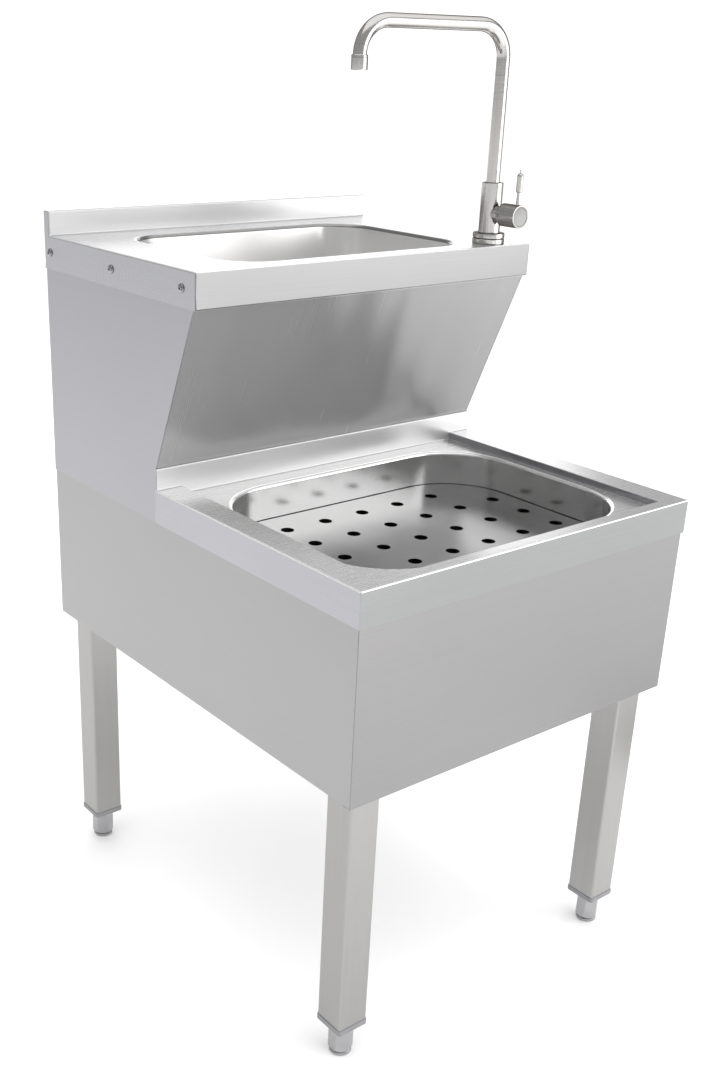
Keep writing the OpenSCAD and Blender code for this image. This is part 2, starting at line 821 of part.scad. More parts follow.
module handle_cap() {
    color("silver") on_valve() difference() {
        translate([0, 0, cap_back]) cylinder(d = cap_d, h = cap_reach - cap_back);
        translate([0, 0, cap_back - 1]) cylinder(r = cap_in, h = cap_reach - cap_back - cap_face_t + 1);
        translate([0, 0, cap_reach - disc_seat]) cylinder(r = cap_in - 0.5, h = disc_seat + 1);
        translate([0, 0, pin_reach]) rotate([0, 90, 0]) cylinder(d = pin_d + 2 * run, h = cap_d + 2, center = true);
        translate([0, rod_root - 0.2, lever_reach]) rotate([-90, 0, 0]) cylinder(d = lever_d + 2 * run, h = cap_d);
    }
}

module handle_disc() {
    color("dimgray") on_valve() translate([0, 0, cap_reach - disc_seat]) cylinder(r = cap_in - 0.6, h = disc_seat - 0.4);
}

module lever_rod() {
    color("silver") on_valve() translate([0, rod_root, lever_reach]) rotate([-90, 0, 0])
        cylinder(d = lever_d, h = lever_len - grip_h);
}

// The grip is drilled for the rod and ends in a dome with a small nub
module lever_grip() {
    base = lever_len - grip_h;
    color("whitesmoke") on_valve() translate([0, base, lever_reach]) rotate([-90, 0, 0]) difference() {
        union() {
            cylinder(d = grip_d, h = grip_h - grip_d / 2);
            translate([0, 0, grip_h - grip_d / 2]) sphere(d = grip_d);
            translate([0, 0, grip_h - 1]) cylinder(d = 2.2, h = 5);
        }
        translate([0, 0, -1]) cylinder(d = lever_d + 2 * run, h = 6);
    }
}

// ---------------------------------------------------------------- the assembly

upper_top();
hand_basin();
slop_top();
slop_bowl();
strainer_plate();
plate_lugs();
skirt_front();
skirt_left();
skirt_right();
side_panel_left();
side_panel_right();
slope_panel();
rear_rail_upper();
rear_rail_lower();
apron_screws();
apron_nuts();
leg_brackets();
leg_front_left();
leg_front_right();
leg_rear_left();
leg_rear_right();
plug_front_left();
plug_front_right();
plug_rear_left();
plug_rear_right();
foot_front_left();
foot_front_right();
foot_rear_left();
foot_rear_right();
hand_waste_flange();
hand_waste_gasket();
hand_waste_nut();
hand_tailpiece();
slop_waste_flange();
slop_waste_gasket();
slop_waste_nut();
slop_tailpiece();
tap_ring();
tap_seal();
tap_body();
tap_washer();
tap_locknut();
spout();
spout_stub();
spout_o_rings();
aerator_collar();
aerator_insert();
cartridge();
cartridge_ring();
spindle();
cross_pin();
handle_cap();
handle_disc();
lever_rod();
lever_grip();
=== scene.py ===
"""Looks of the handwash sink: folded stainless sheet, two pressed bowls, a swivel tap and screw feet."""

import json
import math

import bmesh
import bpy
from mathutils import Matrix, Vector

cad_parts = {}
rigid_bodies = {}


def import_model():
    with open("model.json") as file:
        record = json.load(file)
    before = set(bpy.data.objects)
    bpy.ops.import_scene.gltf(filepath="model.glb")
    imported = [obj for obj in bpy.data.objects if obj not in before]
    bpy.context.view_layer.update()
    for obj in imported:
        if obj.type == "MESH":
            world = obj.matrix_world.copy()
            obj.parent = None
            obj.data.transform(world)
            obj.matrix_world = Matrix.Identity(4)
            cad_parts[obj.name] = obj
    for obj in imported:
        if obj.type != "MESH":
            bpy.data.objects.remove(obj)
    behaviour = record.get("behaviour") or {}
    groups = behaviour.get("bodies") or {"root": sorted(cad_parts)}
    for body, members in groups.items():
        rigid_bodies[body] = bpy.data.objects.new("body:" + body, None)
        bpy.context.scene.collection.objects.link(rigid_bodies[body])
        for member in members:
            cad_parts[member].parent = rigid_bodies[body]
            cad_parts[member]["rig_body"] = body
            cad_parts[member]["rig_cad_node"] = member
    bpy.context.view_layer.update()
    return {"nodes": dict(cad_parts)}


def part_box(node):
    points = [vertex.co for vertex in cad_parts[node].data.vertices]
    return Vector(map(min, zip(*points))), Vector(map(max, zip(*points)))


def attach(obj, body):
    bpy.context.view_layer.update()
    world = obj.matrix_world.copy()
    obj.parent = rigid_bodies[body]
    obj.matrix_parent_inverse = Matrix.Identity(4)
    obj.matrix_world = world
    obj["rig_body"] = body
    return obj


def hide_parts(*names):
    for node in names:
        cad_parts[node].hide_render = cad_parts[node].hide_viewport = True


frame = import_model()

# ---------------------------------------------------------------- sizes, in metres

SHEET = 0.0012
FOLD = 0.0018
FLANGE = 0.008

# both worktops
BACK_DROP = 0.030
HEM = 0.004
UPSTAND_T = 0.013
LOW_UPSTAND_T = 0.003
BORDER_SIDE = 0.035
BORDER_FRONT = 0.017
RECESS = 0.009
CUT_BELOW = 0.003

# both bowls: corner, rolled rim, foot of the wall, waste hole
LIP = 0.001
BASIN_CORNER = 0.050
BASIN_RIM_R = 0.006
BASIN_FOOT_R = 0.022
BASIN_WASTE_R = 0.0225
BOWL_CORNER = 0.085
BOWL_RIM_R = 0.004
BOWL_FOOT_R = 0.020
BOWL_WASTE_R = 0.0313

# legs, plugs and feet
TUBE_WALL = 0.0015
TUBE_R = 0.003
PLUG_R = 0.004
SPIGOT_IN = 0.0027
INSERT_R = 0.00505
FOOT_HEX_R = 0.015
FOOT_LOW_Z = 0.005
FOOT_PAD_R = 0.013
FOOT_SCREW_R = 0.005

# strainer plate
PLATE_CORNER = 0.083
HOLE_R = 0.008
HOLE_PITCH_X = 0.058
HOLE_PITCH_Y = 0.053

# apron screws
HEAD_R = 0.005
HEAD_H = 0.0026
SCREW_R = 0.002
SCREW_END = -0.0068
SOCKET_R = 0.0017

# tap
TAP_HOLE_R = 0.01325
BODY_R = 0.013
BODY_RING_H = 0.006
BODY_BORE_R = 0.00955
BOSS_R = 0.0095
BOSS_BORE_R = 0.0075
BOSS_BORE_FROM = 0.008
BOSS_BORE_TO = 0.040
INLET_R = 0.0045
INLET_OFF = 0.0065
INLET_DEPTH = 0.025
SPOUT_R = 0.008
SPOUT_WALL = 0.0012
SPOUT_BEND_R = 0.036
SPOUT_REACH = 0.200
SPOUT_TIP = 0.010
CAP_WALL = 0.0015
CAP_WEB = 0.011
PIN_HOLE_R = 0.00155
LEVER_HOLE_R = 0.00255
NUB_R = 0.0011
NUB_H = 0.0040

# ---------------------------------------------------------------- places, from the frame

UPPER_LO, UPPER_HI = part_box("upper_top")
SLOP_LO, SLOP_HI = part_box("slop_top")
BASIN_LO, BASIN_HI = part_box("hand_basin")
BOWL_LO, BOWL_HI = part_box("slop_bowl")
PLATE_LO, PLATE_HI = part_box("strainer_plate")
RING_LO, RING_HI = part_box("tap_ring")
STUB_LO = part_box("spout_stub")[0]
SPOUT_LO, SPOUT_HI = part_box("spout")
COLLAR_LO, COLLAR_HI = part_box("aerator_collar")
CAP_LO, CAP_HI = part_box("handle_cap")
GRIP_LO, GRIP_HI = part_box("lever_grip")

BACK_Y = UPPER_HI.y
FRONT_Y = SLOP_LO.y
WORKTOP_Z = BASIN_HI.z + SHEET
DECK_Z = BOWL_HI.z + SHEET
BORDER_Z = DECK_Z + RECESS
UPSTAND_Y = BACK_Y - UPSTAND_T
TAP_X = (RING_LO.x + RING_HI.x) / 2
TAP_Y = (RING_LO.y + RING_HI.y) / 2
VALVE_Z = (CAP_LO.z + CAP_HI.z) / 2


def middle(lo, hi):
    """The point halfway between two corners."""
    return (Vector(lo) + Vector(hi)) / 2


TIP = middle(COLLAR_LO, COLLAR_HI)
SPOUT_YAW = math.degrees(math.atan2(TIP.y - TAP_Y, TAP_X - TIP.x))

# ---------------------------------------------------------------- the bench: one tool for each kind of work


def clear():
    """Object mode, with nothing selected."""
    if bpy.context.object and bpy.context.object.mode != "OBJECT":
        bpy.ops.object.mode_set(mode="OBJECT")
    bpy.ops.object.select_all(action="DESELECT")


def only(obj):
    """Object mode, with one object selected and active."""
    clear()
    obj.select_set(True)
    bpy.context.view_layer.objects.active = obj


def settled(name):
    """Names the new primitive and puts its place into its mesh."""
    obj = bpy.context.object
    obj.name = name
    obj.data.name = name
    bpy.ops.object.transform_apply(location=True, rotation=True, scale=True)
    return obj


def pick(obj, kind, test):
    """Edit mode, with the faces, edges or corners selected that pass the test."""
    bpy.context.view_layer.objects.active = obj
    if obj.mode != "EDIT":
        bpy.ops.object.mode_set(mode="EDIT")
    bpy.ops.mesh.select_mode(type=kind)
    bpy.ops.mesh.select_all(action="DESELECT")
    mesh = bmesh.from_edit_mesh(obj.data)
    mesh.normal_update()
    for item in {"FACE": mesh.faces, "EDGE": mesh.edges, "VERT": mesh.verts}[kind]:
        if test(item):
            item.select_set(True)
    mesh.select_flush_mode()
    bmesh.update_edit_mesh(obj.data)


def ends(edge):
    """The places of an edge's two corners."""
    return [v.co for v in edge.verts]


def is_fold(edge):
    """Tells the edges where the sheet is folded from those within a flat."""
    return len(edge.link_faces) == 2 and edge.calc_face_angle() > 0.5


def modify(obj, kind, **settings):
    """Adds a modifier and applies it."""
    only(obj)
    modifier = obj.modifiers.new(kind.title(), kind)
    for key, value in settings.items():
        setattr(modifier, key, value)
    bpy.ops.object.modifier_apply(modifier=modifier.name)


def ease(obj, width, segments=2, angle=30):
    """Rounds every edge sharper than the angle."""
    modify(obj, "BEVEL", width=width, segments=segments, limit_method="ANGLE",
           angle_limit=math.radians(angle), miter_outer="MITER_ARC")


def polish(obj, angle=38):
    """Merges doubles, then shades flats flat and rounds round."""
    pick(obj, "VERT", lambda v: True)
    bpy.ops.mesh.remove_doubles(threshold=1e-6)
    only(obj)
    bpy.ops.object.shade_smooth_by_angle(angle=math.radians(angle))
    modify(obj, "WEIGHTED_NORMAL", keep_sharp=True, weight=90)


def turn_out(obj):
    """Points the faces of a closed shape outwards."""
    pick(obj, "FACE", lambda f: True)
    bpy.ops.mesh.normals_make_consistent(inside=False)
    clear()


def draw_out(x, y, z):
    """Extrudes what is selected."""
    bpy.ops.mesh.extrude_region_move(TRANSFORM_OT_translate={"value": (x, y, z)})


def block(name, lo, hi):
    """A block between two corners, as a start."""
    clear()
    bpy.ops.mesh.primitive_cube_add(size=1, location=middle(lo, hi), scale=Vector(hi) - Vector(lo))
    return settled(name)


def rounded_plate(name, centre, width, depth, r, steps=9):
    """A flat face with round corners, looking up."""
    clear()
    bpy.ops.mesh.primitive_plane_add(size=1, location=centre)
    bpy.context.object.scale = (width, depth, 1)
    obj = settled(name)
    pick(obj, "VERT", lambda v: True)
    bpy.ops.mesh.bevel(offset=r, segments=steps, affect="VERTICES", clamp_overlap=False)
    return obj


def rounded_block(name, centre, width, depth, r, height, steps=9):
    """A block with round upright corners that stands on centre."""
    obj = rounded_plate(name, centre, width, depth, r, steps)
    pick(obj, "FACE", lambda f: True)
    draw_out(0, 0, height)
    turn_out(obj)
    return obj


def rod(name, centre, r, height, sides=48):
    """A plain round bar that stands on centre: used to cut holes, and as a start."""
    clear()
    place = Vector(centre) + Vector((0, 0, height / 2))
    bpy.ops.mesh.primitive_cylinder_add(vertices=sides, radius=r, depth=height, location=place)
    return settled(name)


def cut(obj, *cutters):
    """Takes each cutter out of a piece and throws the cutter away."""
    for cutter in cutters:
        modify(obj, "BOOLEAN", object=cutter, operation="DIFFERENCE", solver="EXACT")
        bpy.data.objects.remove(cutter)


def turned(name, profile, steps=48):
    """Turns a profile of (radius, height) corners round the upright axis through the origin."""
    clear()
    bpy.ops.mesh.primitive_plane_add(size=1)
    obj = settled(name)
    pick(obj, "VERT", lambda v: True)
    bpy.ops.mesh.merge(type="CENTER")
    bpy.ops.transform.translate(value=(profile[0][0], 0, profile[0][1]))
    for (r0, z0), (r1, z1) in zip(profile, profile[1:]):
        bpy.ops.mesh.extrude_vertices_move(TRANSFORM_OT_translate={"value": (r1 - r0, 0, z1 - z0)})
    bpy.ops.mesh.select_all(action="SELECT")
    bpy.ops.mesh.spin(steps=steps, angle=2 * math.pi, center=(0, 0, 0), axis=(0, 0, 1))
    bpy.ops.mesh.select_all(action="SELECT")
    bpy.ops.mesh.remove_doubles(threshold=1e-6)
    bpy.ops.mesh.normals_make_consistent(inside=False)
    clear()
    return obj


def let_in(obj, *parts):
    """Joins each part to a piece as one body."""
    for part in parts:
        modify(obj, "BOOLEAN", object=part, operation="UNION", solver="EXACT")
        bpy.data.objects.remove(part)


def set_down(obj, place, turn=(0, 0, 0)):
    """Turns a piece made at the origin, moves it to its place, and puts both into its mesh."""
    only(obj)
    obj.rotation_euler = [math.radians(a) for a in turn]
    obj.location = place
    bpy.ops.object.transform_apply(location=True, rotation=True, scale=True)
    return obj


def copied(obj, name):
    """A copy with its own mesh."""
    twin = obj.copy()
    twin.data = obj.data.copy()
    twin.name = name
    twin.data.name = name
    bpy.context.scene.collection.objects.link(twin)
    return twin


def from_frame(node, name, edge=0.0003, segments=2):
    """A copy of a frame piece with clean faces and eased edges."""
    twin = copied(frame["nodes"][node], name)
    twin.parent = None
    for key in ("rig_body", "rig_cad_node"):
        if key in twin:
            del twin[key]
    pick(twin, "VERT", lambda v: True)
    bpy.ops.mesh.remove_doubles(threshold=1e-6)
    bpy.ops.mesh.dissolve_limited(angle_limit=math.radians(0.5))
    if edge:
        ease(twin, edge, segments)
    return twin


def hand_over(obj, body, material, slot, *nodes, angle=38):
    """The last touch: shading, material, and the body that carries the piece."""
    polish(obj, angle)
    clear()
    obj.data.materials.clear()
    obj.data.materials.append(material)
    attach(obj, body)
    if nodes:
        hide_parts(*nodes)
    return obj


def paint_faces(obj, material, test):
    """Gives the faces that pass the test another material; here that paints light or shade onto them."""
    obj.data.materials.append(material)
    pick(obj, "FACE", test)
    obj.active_material_index = len(obj.data.materials) - 1
    bpy.ops.object.material_slot_assign()
    clear()


# ---------------------------------------------------------------- finishes


def finish(name, colour, rough, metal=0.0):
    """A new material: its nodes, its links and the shader."""
    material = bpy.data.materials.new(name)
    material.use_nodes = True
    nodes = material.node_tree.nodes
    shader = nodes["Principled BSDF"]
    shader.inputs["Base Color"].default_value = (*colour, 1)
    shader.inputs["Roughness"].default_value = rough
    shader.inputs["Metallic"].default_value = metal
    return material, nodes, material.node_tree.links, shader


def scaled_noise(nodes, links, stretch, detail=3.0, turn=(0, 0, 0)):
    """Noise in the object's own coordinates, with its own scale along each axis."""
    where = nodes.new("ShaderNodeTexCoord")
    mapping = nodes.new("ShaderNodeMapping")
    mapping.inputs["Rotation"].default_value = turn
    mapping.inputs["Scale"].default_value = stretch
    noise = nodes.new("ShaderNodeTexNoise")
    noise.inputs["Scale"].default_value = 1.0
    noise.inputs["Detail"].default_value = detail
    links.new(where.outputs["Object"], mapping.inputs["Vector"])
    links.new(mapping.outputs["Vector"], noise.inputs["Vector"])
    return noise.outputs["Fac"]


def spread(nodes, links, value, low, high, start=0.3, end=0.7):
    """Maps a noise onto the range from low to high."""
    ramp = nodes.new("ShaderNodeMapRange")
    ramp.inputs["From Min"].default_value = start
    ramp.inputs["From Max"].default_value = end
    ramp.inputs["To Min"].default_value = low
    ramp.inputs["To Max"].default_value = high
    links.new(value, ramp.inputs["Value"])
    return ramp.outputs["Result"]


def tint(nodes, links, value, dark, light):
    """Mixes two colours by a value."""
    mix = nodes.new("ShaderNodeMix")
    mix.data_type = "RGBA"
    mix.inputs["A"].default_value = (*dark, 1)
    mix.inputs["B"].default_value = (*light, 1)
    links.new(value, mix.inputs["Factor"])
    return mix.outputs["Result"]


def bumped(nodes, links, surface, value, strength, distance):
    """Raises a surface by a value, and gives back the bump so that another can go under it."""
    bump = nodes.new("ShaderNodeBump")
    bump.inputs["Strength"].default_value = strength
    bump.inputs["Distance"].default_value = distance
    links.new(value, bump.inputs["Height"])
    links.new(bump.outputs["Normal"], surface.inputs["Normal"])
    return bump


def coloured(nodes, links, shader, value, colour, darker, lighter):
    """Lets the base colour run with a value, from a darker tone to a lighter one."""
    dark = [c * darker for c in colour]
    light = [min(1.0, c * lighter) for c in colour]
    links.new(tint(nodes, links, value, dark, light), shader.inputs["Base Color"])


def roughened(nodes, links, shader, value, low, high):
    """Lets the roughness run with a value."""
    links.new(spread(nodes, links, value, low, high), shader.inputs["Roughness"])


def brushed(name, colour, rough, grain, depth=0.00002, contrast=0.06, wave=0, swell=(3, 3, 3),
            metal=1.0):
    """Brushed sheet: fine lines, slow clouds where it was handled, and the slight waves of thin sheet."""
    material, nodes, links, shader = finish(name, colour, rough, metal)
    lines = scaled_noise(nodes, links, grain, detail=2.0)
    clouds = scaled_noise(nodes, links, (6, 6, 6), detail=2.0)
    both = nodes.new("ShaderNodeMix")
    both.inputs["Factor"].default_value = 0.4
    links.new(lines, both.inputs["A"])
    links.new(clouds, both.inputs["B"])
    mixed = both.outputs["Result"]
    share = spread(nodes, links, mixed, 0.0, 1.0, 0.35, 0.65)
    coloured(nodes, links, shader, share, colour, 1 - contrast, 1 + contrast)
    roughened(nodes, links, shader, mixed, rough - contrast / 2, rough + contrast / 2)
    surface = shader
    if depth:
        surface = bumped(nodes, links, shader, lines, 0.35, depth)
    if wave:
        swells = scaled_noise(nodes, links, swell, detail=1.0)
        bumped(nodes, links, surface, swells, 1.0, wave)
    return material


def satin(name, colour, rough, metal, wave=0, swell=(8, 8, 8)):
    """Pressed steel with a fine, even satin skin."""
    return brushed(name, colour, rough, (60, 60, 60), depth=0, contrast=0.008, wave=wave, swell=swell,
                   metal=metal)


def shaded_below(material, top_z, share):
    """Darkens a bowl's steel from just below a height downwards: painted shade under the strainer plate."""
    nodes, links = material.node_tree.nodes, material.node_tree.links
    shader = nodes["Principled BSDF"]
    colour = shader.inputs["Base Color"].links[0].from_socket
    where = nodes.new("ShaderNodeTexCoord")
    parts = nodes.new("ShaderNodeSeparateXYZ")
    links.new(where.outputs["Object"], parts.inputs["Vector"])
    depth = spread(nodes, links, parts.outputs["Z"], share, 1.0, top_z - 0.03, top_z)
    scale = nodes.new("ShaderNodeVectorMath")
    scale.operation = "SCALE"
    links.new(colour, scale.inputs["Vector"])
    links.new(depth, scale.inputs["Scale"])
    links.new(scale.outputs["Vector"], shader.inputs["Base Color"])


def turned_steel(name, colour, rough, turn=(0, 0, 0)):
    """Turned steel: fine rings at right angles to the axis that turn brings upright."""
    material, nodes, links, shader = finish(name, colour, rough, metal=1.0)
    shader.inputs["Specular Tint"].default_value = (0.10, 0.09, 0.08, 1)
    lines = scaled_noise(nodes, links, (12, 12, 1200), detail=2.0, turn=turn)
    share = spread(nodes, links, lines, 0.0, 1.0)
    coloured(nodes, links, shader, share, colour, 0.90, 1.08)
    roughened(nodes, links, shader, lines, rough - 0.05, rough + 0.08)
    bumped(nodes, links, shader, lines, 0.25, 0.00002)
    return material


def ringed_steel(name, colour, rough, centre):
    """The end of a turned piece that faces the front: rings round a centre in the XZ plane."""
    material, nodes, links, shader = finish(name, colour, rough, metal=1.0)
    where = nodes.new("ShaderNodeTexCoord")
    mapping = nodes.new("ShaderNodeMapping")
    mapping.inputs["Location"].default_value = [-c for c in centre]
    flat = nodes.new("ShaderNodeVectorMath")
    flat.operation = "MULTIPLY"
    flat.inputs[1].default_value = (1, 0, 1)
    length = nodes.new("ShaderNodeVectorMath")
    length.operation = "LENGTH"
    noise = nodes.new("ShaderNodeTexNoise")
    noise.noise_dimensions = "1D"
    noise.inputs["Scale"].default_value = 2200.0
    noise.inputs["Detail"].default_value = 2.0
    links.new(where.outputs["Object"], mapping.inputs["Vector"])
    links.new(mapping.outputs["Vector"], flat.inputs[0])
    links.new(flat.outputs["Vector"], length.inputs[0])
    links.new(length.outputs["Value"], noise.inputs["W"])
    lines = noise.outputs["Fac"]
    share = spread(nodes, links, lines, 0.0, 1.0)
    coloured(nodes, links, shader, share, colour, 0.86, 1.12)
    roughened(nodes, links, shader, lines, rough - 0.05, rough + 0.08)
    bumped(nodes, links, shader, lines, 0.3, 0.00003)
    return material


def moulded(name, colour, rough, grain=900.0, metal=0.0, specks=0.06):
    """Moulded plastic, rubber or cast metal: a fine skin and a slight unevenness of colour."""
    material, nodes, links, shader = finish(name, colour, rough, metal)
    skin = scaled_noise(nodes, links, (grain, grain, grain), detail=3.0)
    patches = scaled_noise(nodes, links, (40, 40, 40), detail=3.0)
    share = spread(nodes, links, patches, 0.0, 1.0)
    coloured(nodes, links, shader, share, colour, 1 - specks, 1 + specks)
    roughened(nodes, links, shader, patches, max(0.05, rough - 0.06), rough + 0.06)
    bumped(nodes, links, shader, skin, 0.3, 0.00004)
    return material


# how finely the brush lines follow each other along each axis
ACROSS = (5, 900, 900)
ENDWAYS = (900, 5, 900)
UPRIGHT = (900, 900, 4)
DOWNHILL = (700, 3, 3)

FLAT_WAVE = {"wave": 0.0002, "swell": (5, 2, 2), "metal": 0.8}
SIDE_WAVE = {"wave": 0.0003, "swell": (2, 3, 2)}

UPPER_TOP_STEEL = brushed("upper_top_steel", (0.53, 0.53, 0.535), 0.27, ACROSS, 0.000005, 0.035,
                          **FLAT_WAVE)
LOWER_TOP_STEEL = brushed("lower_top_steel", (0.61, 0.61, 0.61), 0.27, ACROSS, 0.000005, 0.03,
                          **FLAT_WAVE)
# painted light: the upstands are lighter copies of the top steel they are folded from
UPSTAND_LIT_STEEL = brushed("upstand_lit_steel", (0.60, 0.60, 0.605), 0.30, ACROSS, 0.000005, 0.03, metal=0.8)
LOW_UPSTAND_LIT_STEEL = brushed("low_upstand_lit_steel", (0.74, 0.74, 0.74), 0.34, ACROSS, 0.000005, 0.03,
                            metal=0.8)
# painted highlight: the outer folds get a near-white copy of the top steel; the lower roughness is a real
# polish
FOLD_HIGHLIGHT_STEEL = brushed("fold_highlight_steel", (0.95, 0.95, 0.95), 0.20, ACROSS, 0.000002, 0.02, metal=0.8)
# painted shade: the tops' ends are a darker copy of the top steel, with their brush lines running endways
TOP_END_SHADE_STEEL = brushed("top_end_shade_steel", (0.42, 0.42, 0.44), 0.28, ENDWAYS, 0.000006, 0.03)
# painted shade: the aprons are much darker copies of the top steel they are folded from
UPPER_APRON_SHADE_STEEL = brushed("upper_apron_shade_steel", (0.31, 0.31, 0.31), 0.30, ACROSS, contrast=0.035)
LOWER_APRON_SHADE_STEEL = brushed("lower_apron_shade_steel", (0.295, 0.30, 0.30), 0.30, ACROSS, contrast=0.03)
# painted highlight: the basin's steel is much lighter than the worktop steel, which brightens the lamp
# reflections on its walls
BASIN_STEEL = satin("basin_steel", (0.82, 0.815, 0.81), 0.28, 0.85, wave=0.0006)
# painted shade: a dark copy of the basin steel draws the dark outline of the rolled rim
RIM_SHADE_STEEL = satin("rim_shade_steel", (0.30, 0.295, 0.29), 0.22, 1.0)
# painted highlight: the slop bowl's steel is much lighter than the worktop steel, which brightens the lamp
# reflection on its rear wall
BOWL_STEEL = satin("bowl_steel", (0.92, 0.915, 0.91), 0.20, 1.0, wave=0.0008, swell=(6, 6, 2))
PLATE_STEEL = brushed("plate_steel", (0.27, 0.27, 0.27), 0.24, ACROSS, 0.000003, 0.02,
                      wave=0.0016, swell=(9, 7, 1))
# painted shade: the front skirt's steel is darker than the side skirts', holding back the stronger light of
# the front lamp
SKIRT_SHADE_STEEL = brushed("skirt_shade_steel", (0.295, 0.29, 0.292), 0.38, ACROSS, contrast=0.02,
                      wave=0.0006, swell=(5, 5, 1))
SIDE_STEEL = brushed("side_steel", (0.39, 0.385, 0.388), 0.38, ENDWAYS, contrast=0.02, **SIDE_WAVE)
CHEEK_STEEL = brushed("cheek_steel", (0.41, 0.405, 0.425), 0.38, ENDWAYS, contrast=0.02, **SIDE_WAVE)
SLOPE_STEEL = brushed("slope_steel", (0.46, 0.455, 0.455), 0.27, DOWNHILL, 0, 0.01,
                      wave=0.014, swell=(9, 2, 2), metal=0.65)
FRAME_STEEL = brushed("frame_steel", (0.50, 0.50, 0.51), 0.40, ACROSS)
LEG_STEEL = brushed("leg_steel", (0.37, 0.365, 0.36), 0.30, UPRIGHT, contrast=0.03)
SCREW_STEEL = moulded("screw_steel", (0.36, 0.36, 0.37), 0.26, metal=1.0)
TAP_STEEL = turned_steel("tap_steel", (0.58, 0.565, 0.55), 0.17)
CAP_STEEL = turned_steel("cap_steel", (0.48, 0.465, 0.45), 0.30, turn=(math.radians(90), 0, 0))
DISC_STEEL = ringed_steel("disc_steel", (0.27, 0.27, 0.27), 0.34, (TAP_X, 0, VALVE_Z))
WASTE_STEEL = moulded("waste_steel", (0.70, 0.70, 0.71), 0.14, metal=1.0, specks=0.03)
FOOT_METAL = moulded("foot_metal", (0.42, 0.42, 0.43), 0.38, grain=500.0, metal=1.0, specks=0.12)
PLUG_PLASTIC = moulded("plug_plastic", (0.22, 0.22, 0.23), 0.42, grain=700.0)
WASTE_PLASTIC = moulded("waste_plastic", (0.80, 0.80, 0.79), 0.40)
RUBBER = moulded("rubber_seal", (0.03, 0.03, 0.03), 0.75)
BRASS = moulded("brass_nut", (0.62, 0.44, 0.20), 0.30, metal=1.0)
IVORY = moulded("cartridge_body", (0.76, 0.72, 0.62), 0.40)
GRID_PLASTIC = moulded("aerator_grid", (0.68, 0.70, 0.71), 0.45)

# ---------------------------------------------------------------- pressed bowls


def quarter(steps):
    """The angles of a quarter turn, in pairs that follow each other."""
    angles = [math.pi / 2 * k / steps for k in range(steps + 1)]
    return zip(angles, angles[1:])


def roll(r):
    """Steps (inwards, down) round a rim, from flat to upright."""
    return [(r * (math.sin(b) - math.sin(a)), r * (math.cos(a) - math.cos(b))) for a, b in quarter(6)]


def cove(r):
    """Steps (inwards, down) round the foot of a wall, from upright to flat."""
    return [(r * (math.cos(a) - math.cos(b)), r * (math.sin(b) - math.sin(a))) for a, b in quarter(7)]


def press(steps):
    """Presses the selected face down, step by step."""
    for inward, down in steps:
        bpy.ops.mesh.inset(thickness=inward, depth=-down)


def pressed_bowl(name, box, top_z, corner, rim_r, walls, foot_r, waste_r):
    """A bowl whose rim starts flush with the sheet around it, with a round hole for the waste.

    Each wall step is (inwards, share of the wall's height).
    """
    lo, hi = box
    mid = middle(lo, hi)
    width = hi.x - lo.x - 2 * FLANGE
    depth = hi.y - lo.y - 2 * FLANGE
    floor_z = lo.z + SHEET
    height = top_z - rim_r - foot_r - floor_z
    lip = [(LIP, 0.0)] + roll(rim_r)
    rim = sum(inward for inward, _ in lip)
    obj = rounded_plate(name, (mid.x, mid.y, top_z), width + 2 * rim, depth + 2 * rim, corner + rim)
    pick(obj, "FACE", lambda f: True)
    press(lip + [(inward, height * share) for inward, share in walls] + cove(foot_r))
    pick(obj, "VERT", lambda v: True)
    bpy.ops.mesh.remove_doubles(threshold=1e-6)
    modify(obj, "SOLIDIFY", thickness=SHEET, offset=-1)
    cut(obj, rod("waste_hole", (mid.x, mid.y, floor_z - 0.01), waste_r, 0.02, 40))
    return obj


def hand_basin():
    """The basin: its walls lean in a little more the deeper they go."""
    walls = [(0.004, 0.3), (0.005, 0.35), (0.006, 0.35)]
    return pressed_bowl("basin_shell", (BASIN_LO, BASIN_HI), WORKTOP_Z, BASIN_CORNER, BASIN_RIM_R,
                        walls, BASIN_FOOT_R, BASIN_WASTE_R)


def slop_bowl():
    """The slop bowl: upright walls with wide round corners."""
    walls = [(0.0002, 0.5), (0.0002, 0.5)]
    return pressed_bowl("slop_bowl_shell", (BOWL_LO, BOWL_HI), DECK_Z, BOWL_CORNER, BOWL_RIM_R,
                        walls, BOWL_FOOT_R, BOWL_WASTE_R)


def on_rolled_rim(face):
    """Tells the faces of the basin's rolled rim."""
    high = face.calc_center_median().z > WORKTOP_Z - BASIN_RIM_R
    return high and 0.15 < face.normal.z < 0.92


basin = hand_over(hand_basin(), "stand", BASIN_STEEL, "bowl_steel", "hand_basin", angle=50)
# painted shade: the rolled rim gets the dark rim steel
paint_faces(basin, RIM_SHADE_STEEL, on_rolled_rim)
hand_over(slop_bowl(), "stand", BOWL_STEEL, "bowl_steel", "slop_bowl", angle=50)
# painted shade: the slop bowl's steel darkens to half its tone below the strainer plate
shaded_below(BOWL_STEEL, PLATE_LO.z, 0.5)

# ---------------------------------------------------------------- folded tops


def bowl_cutter(box_lo, box_hi, top_z, corner, rim):
    """Cuts the sheet just outside a bowl's rim."""
    mid = middle(box_lo, box_hi)
    width = box_hi.x - box_lo.x - 2 * FLANGE + 2 * rim
    depth = box_hi.y - box_lo.y - 2 * FLANGE + 2 * rim
    start = (mid.x, mid.y, top_z - CUT_BELOW)
    return rounded_block("cutter", start, width, depth, corner + rim, 2 * CUT_BELOW)


def fold_edges(obj, radius, steps):
    """Rounds the folds of a sheet that has no thickness yet."""
    pick(obj, "EDGE", is_fold)
    bpy.ops.mesh.bevel(offset=radius, segments=steps, affect="EDGES", clamp_overlap=True)


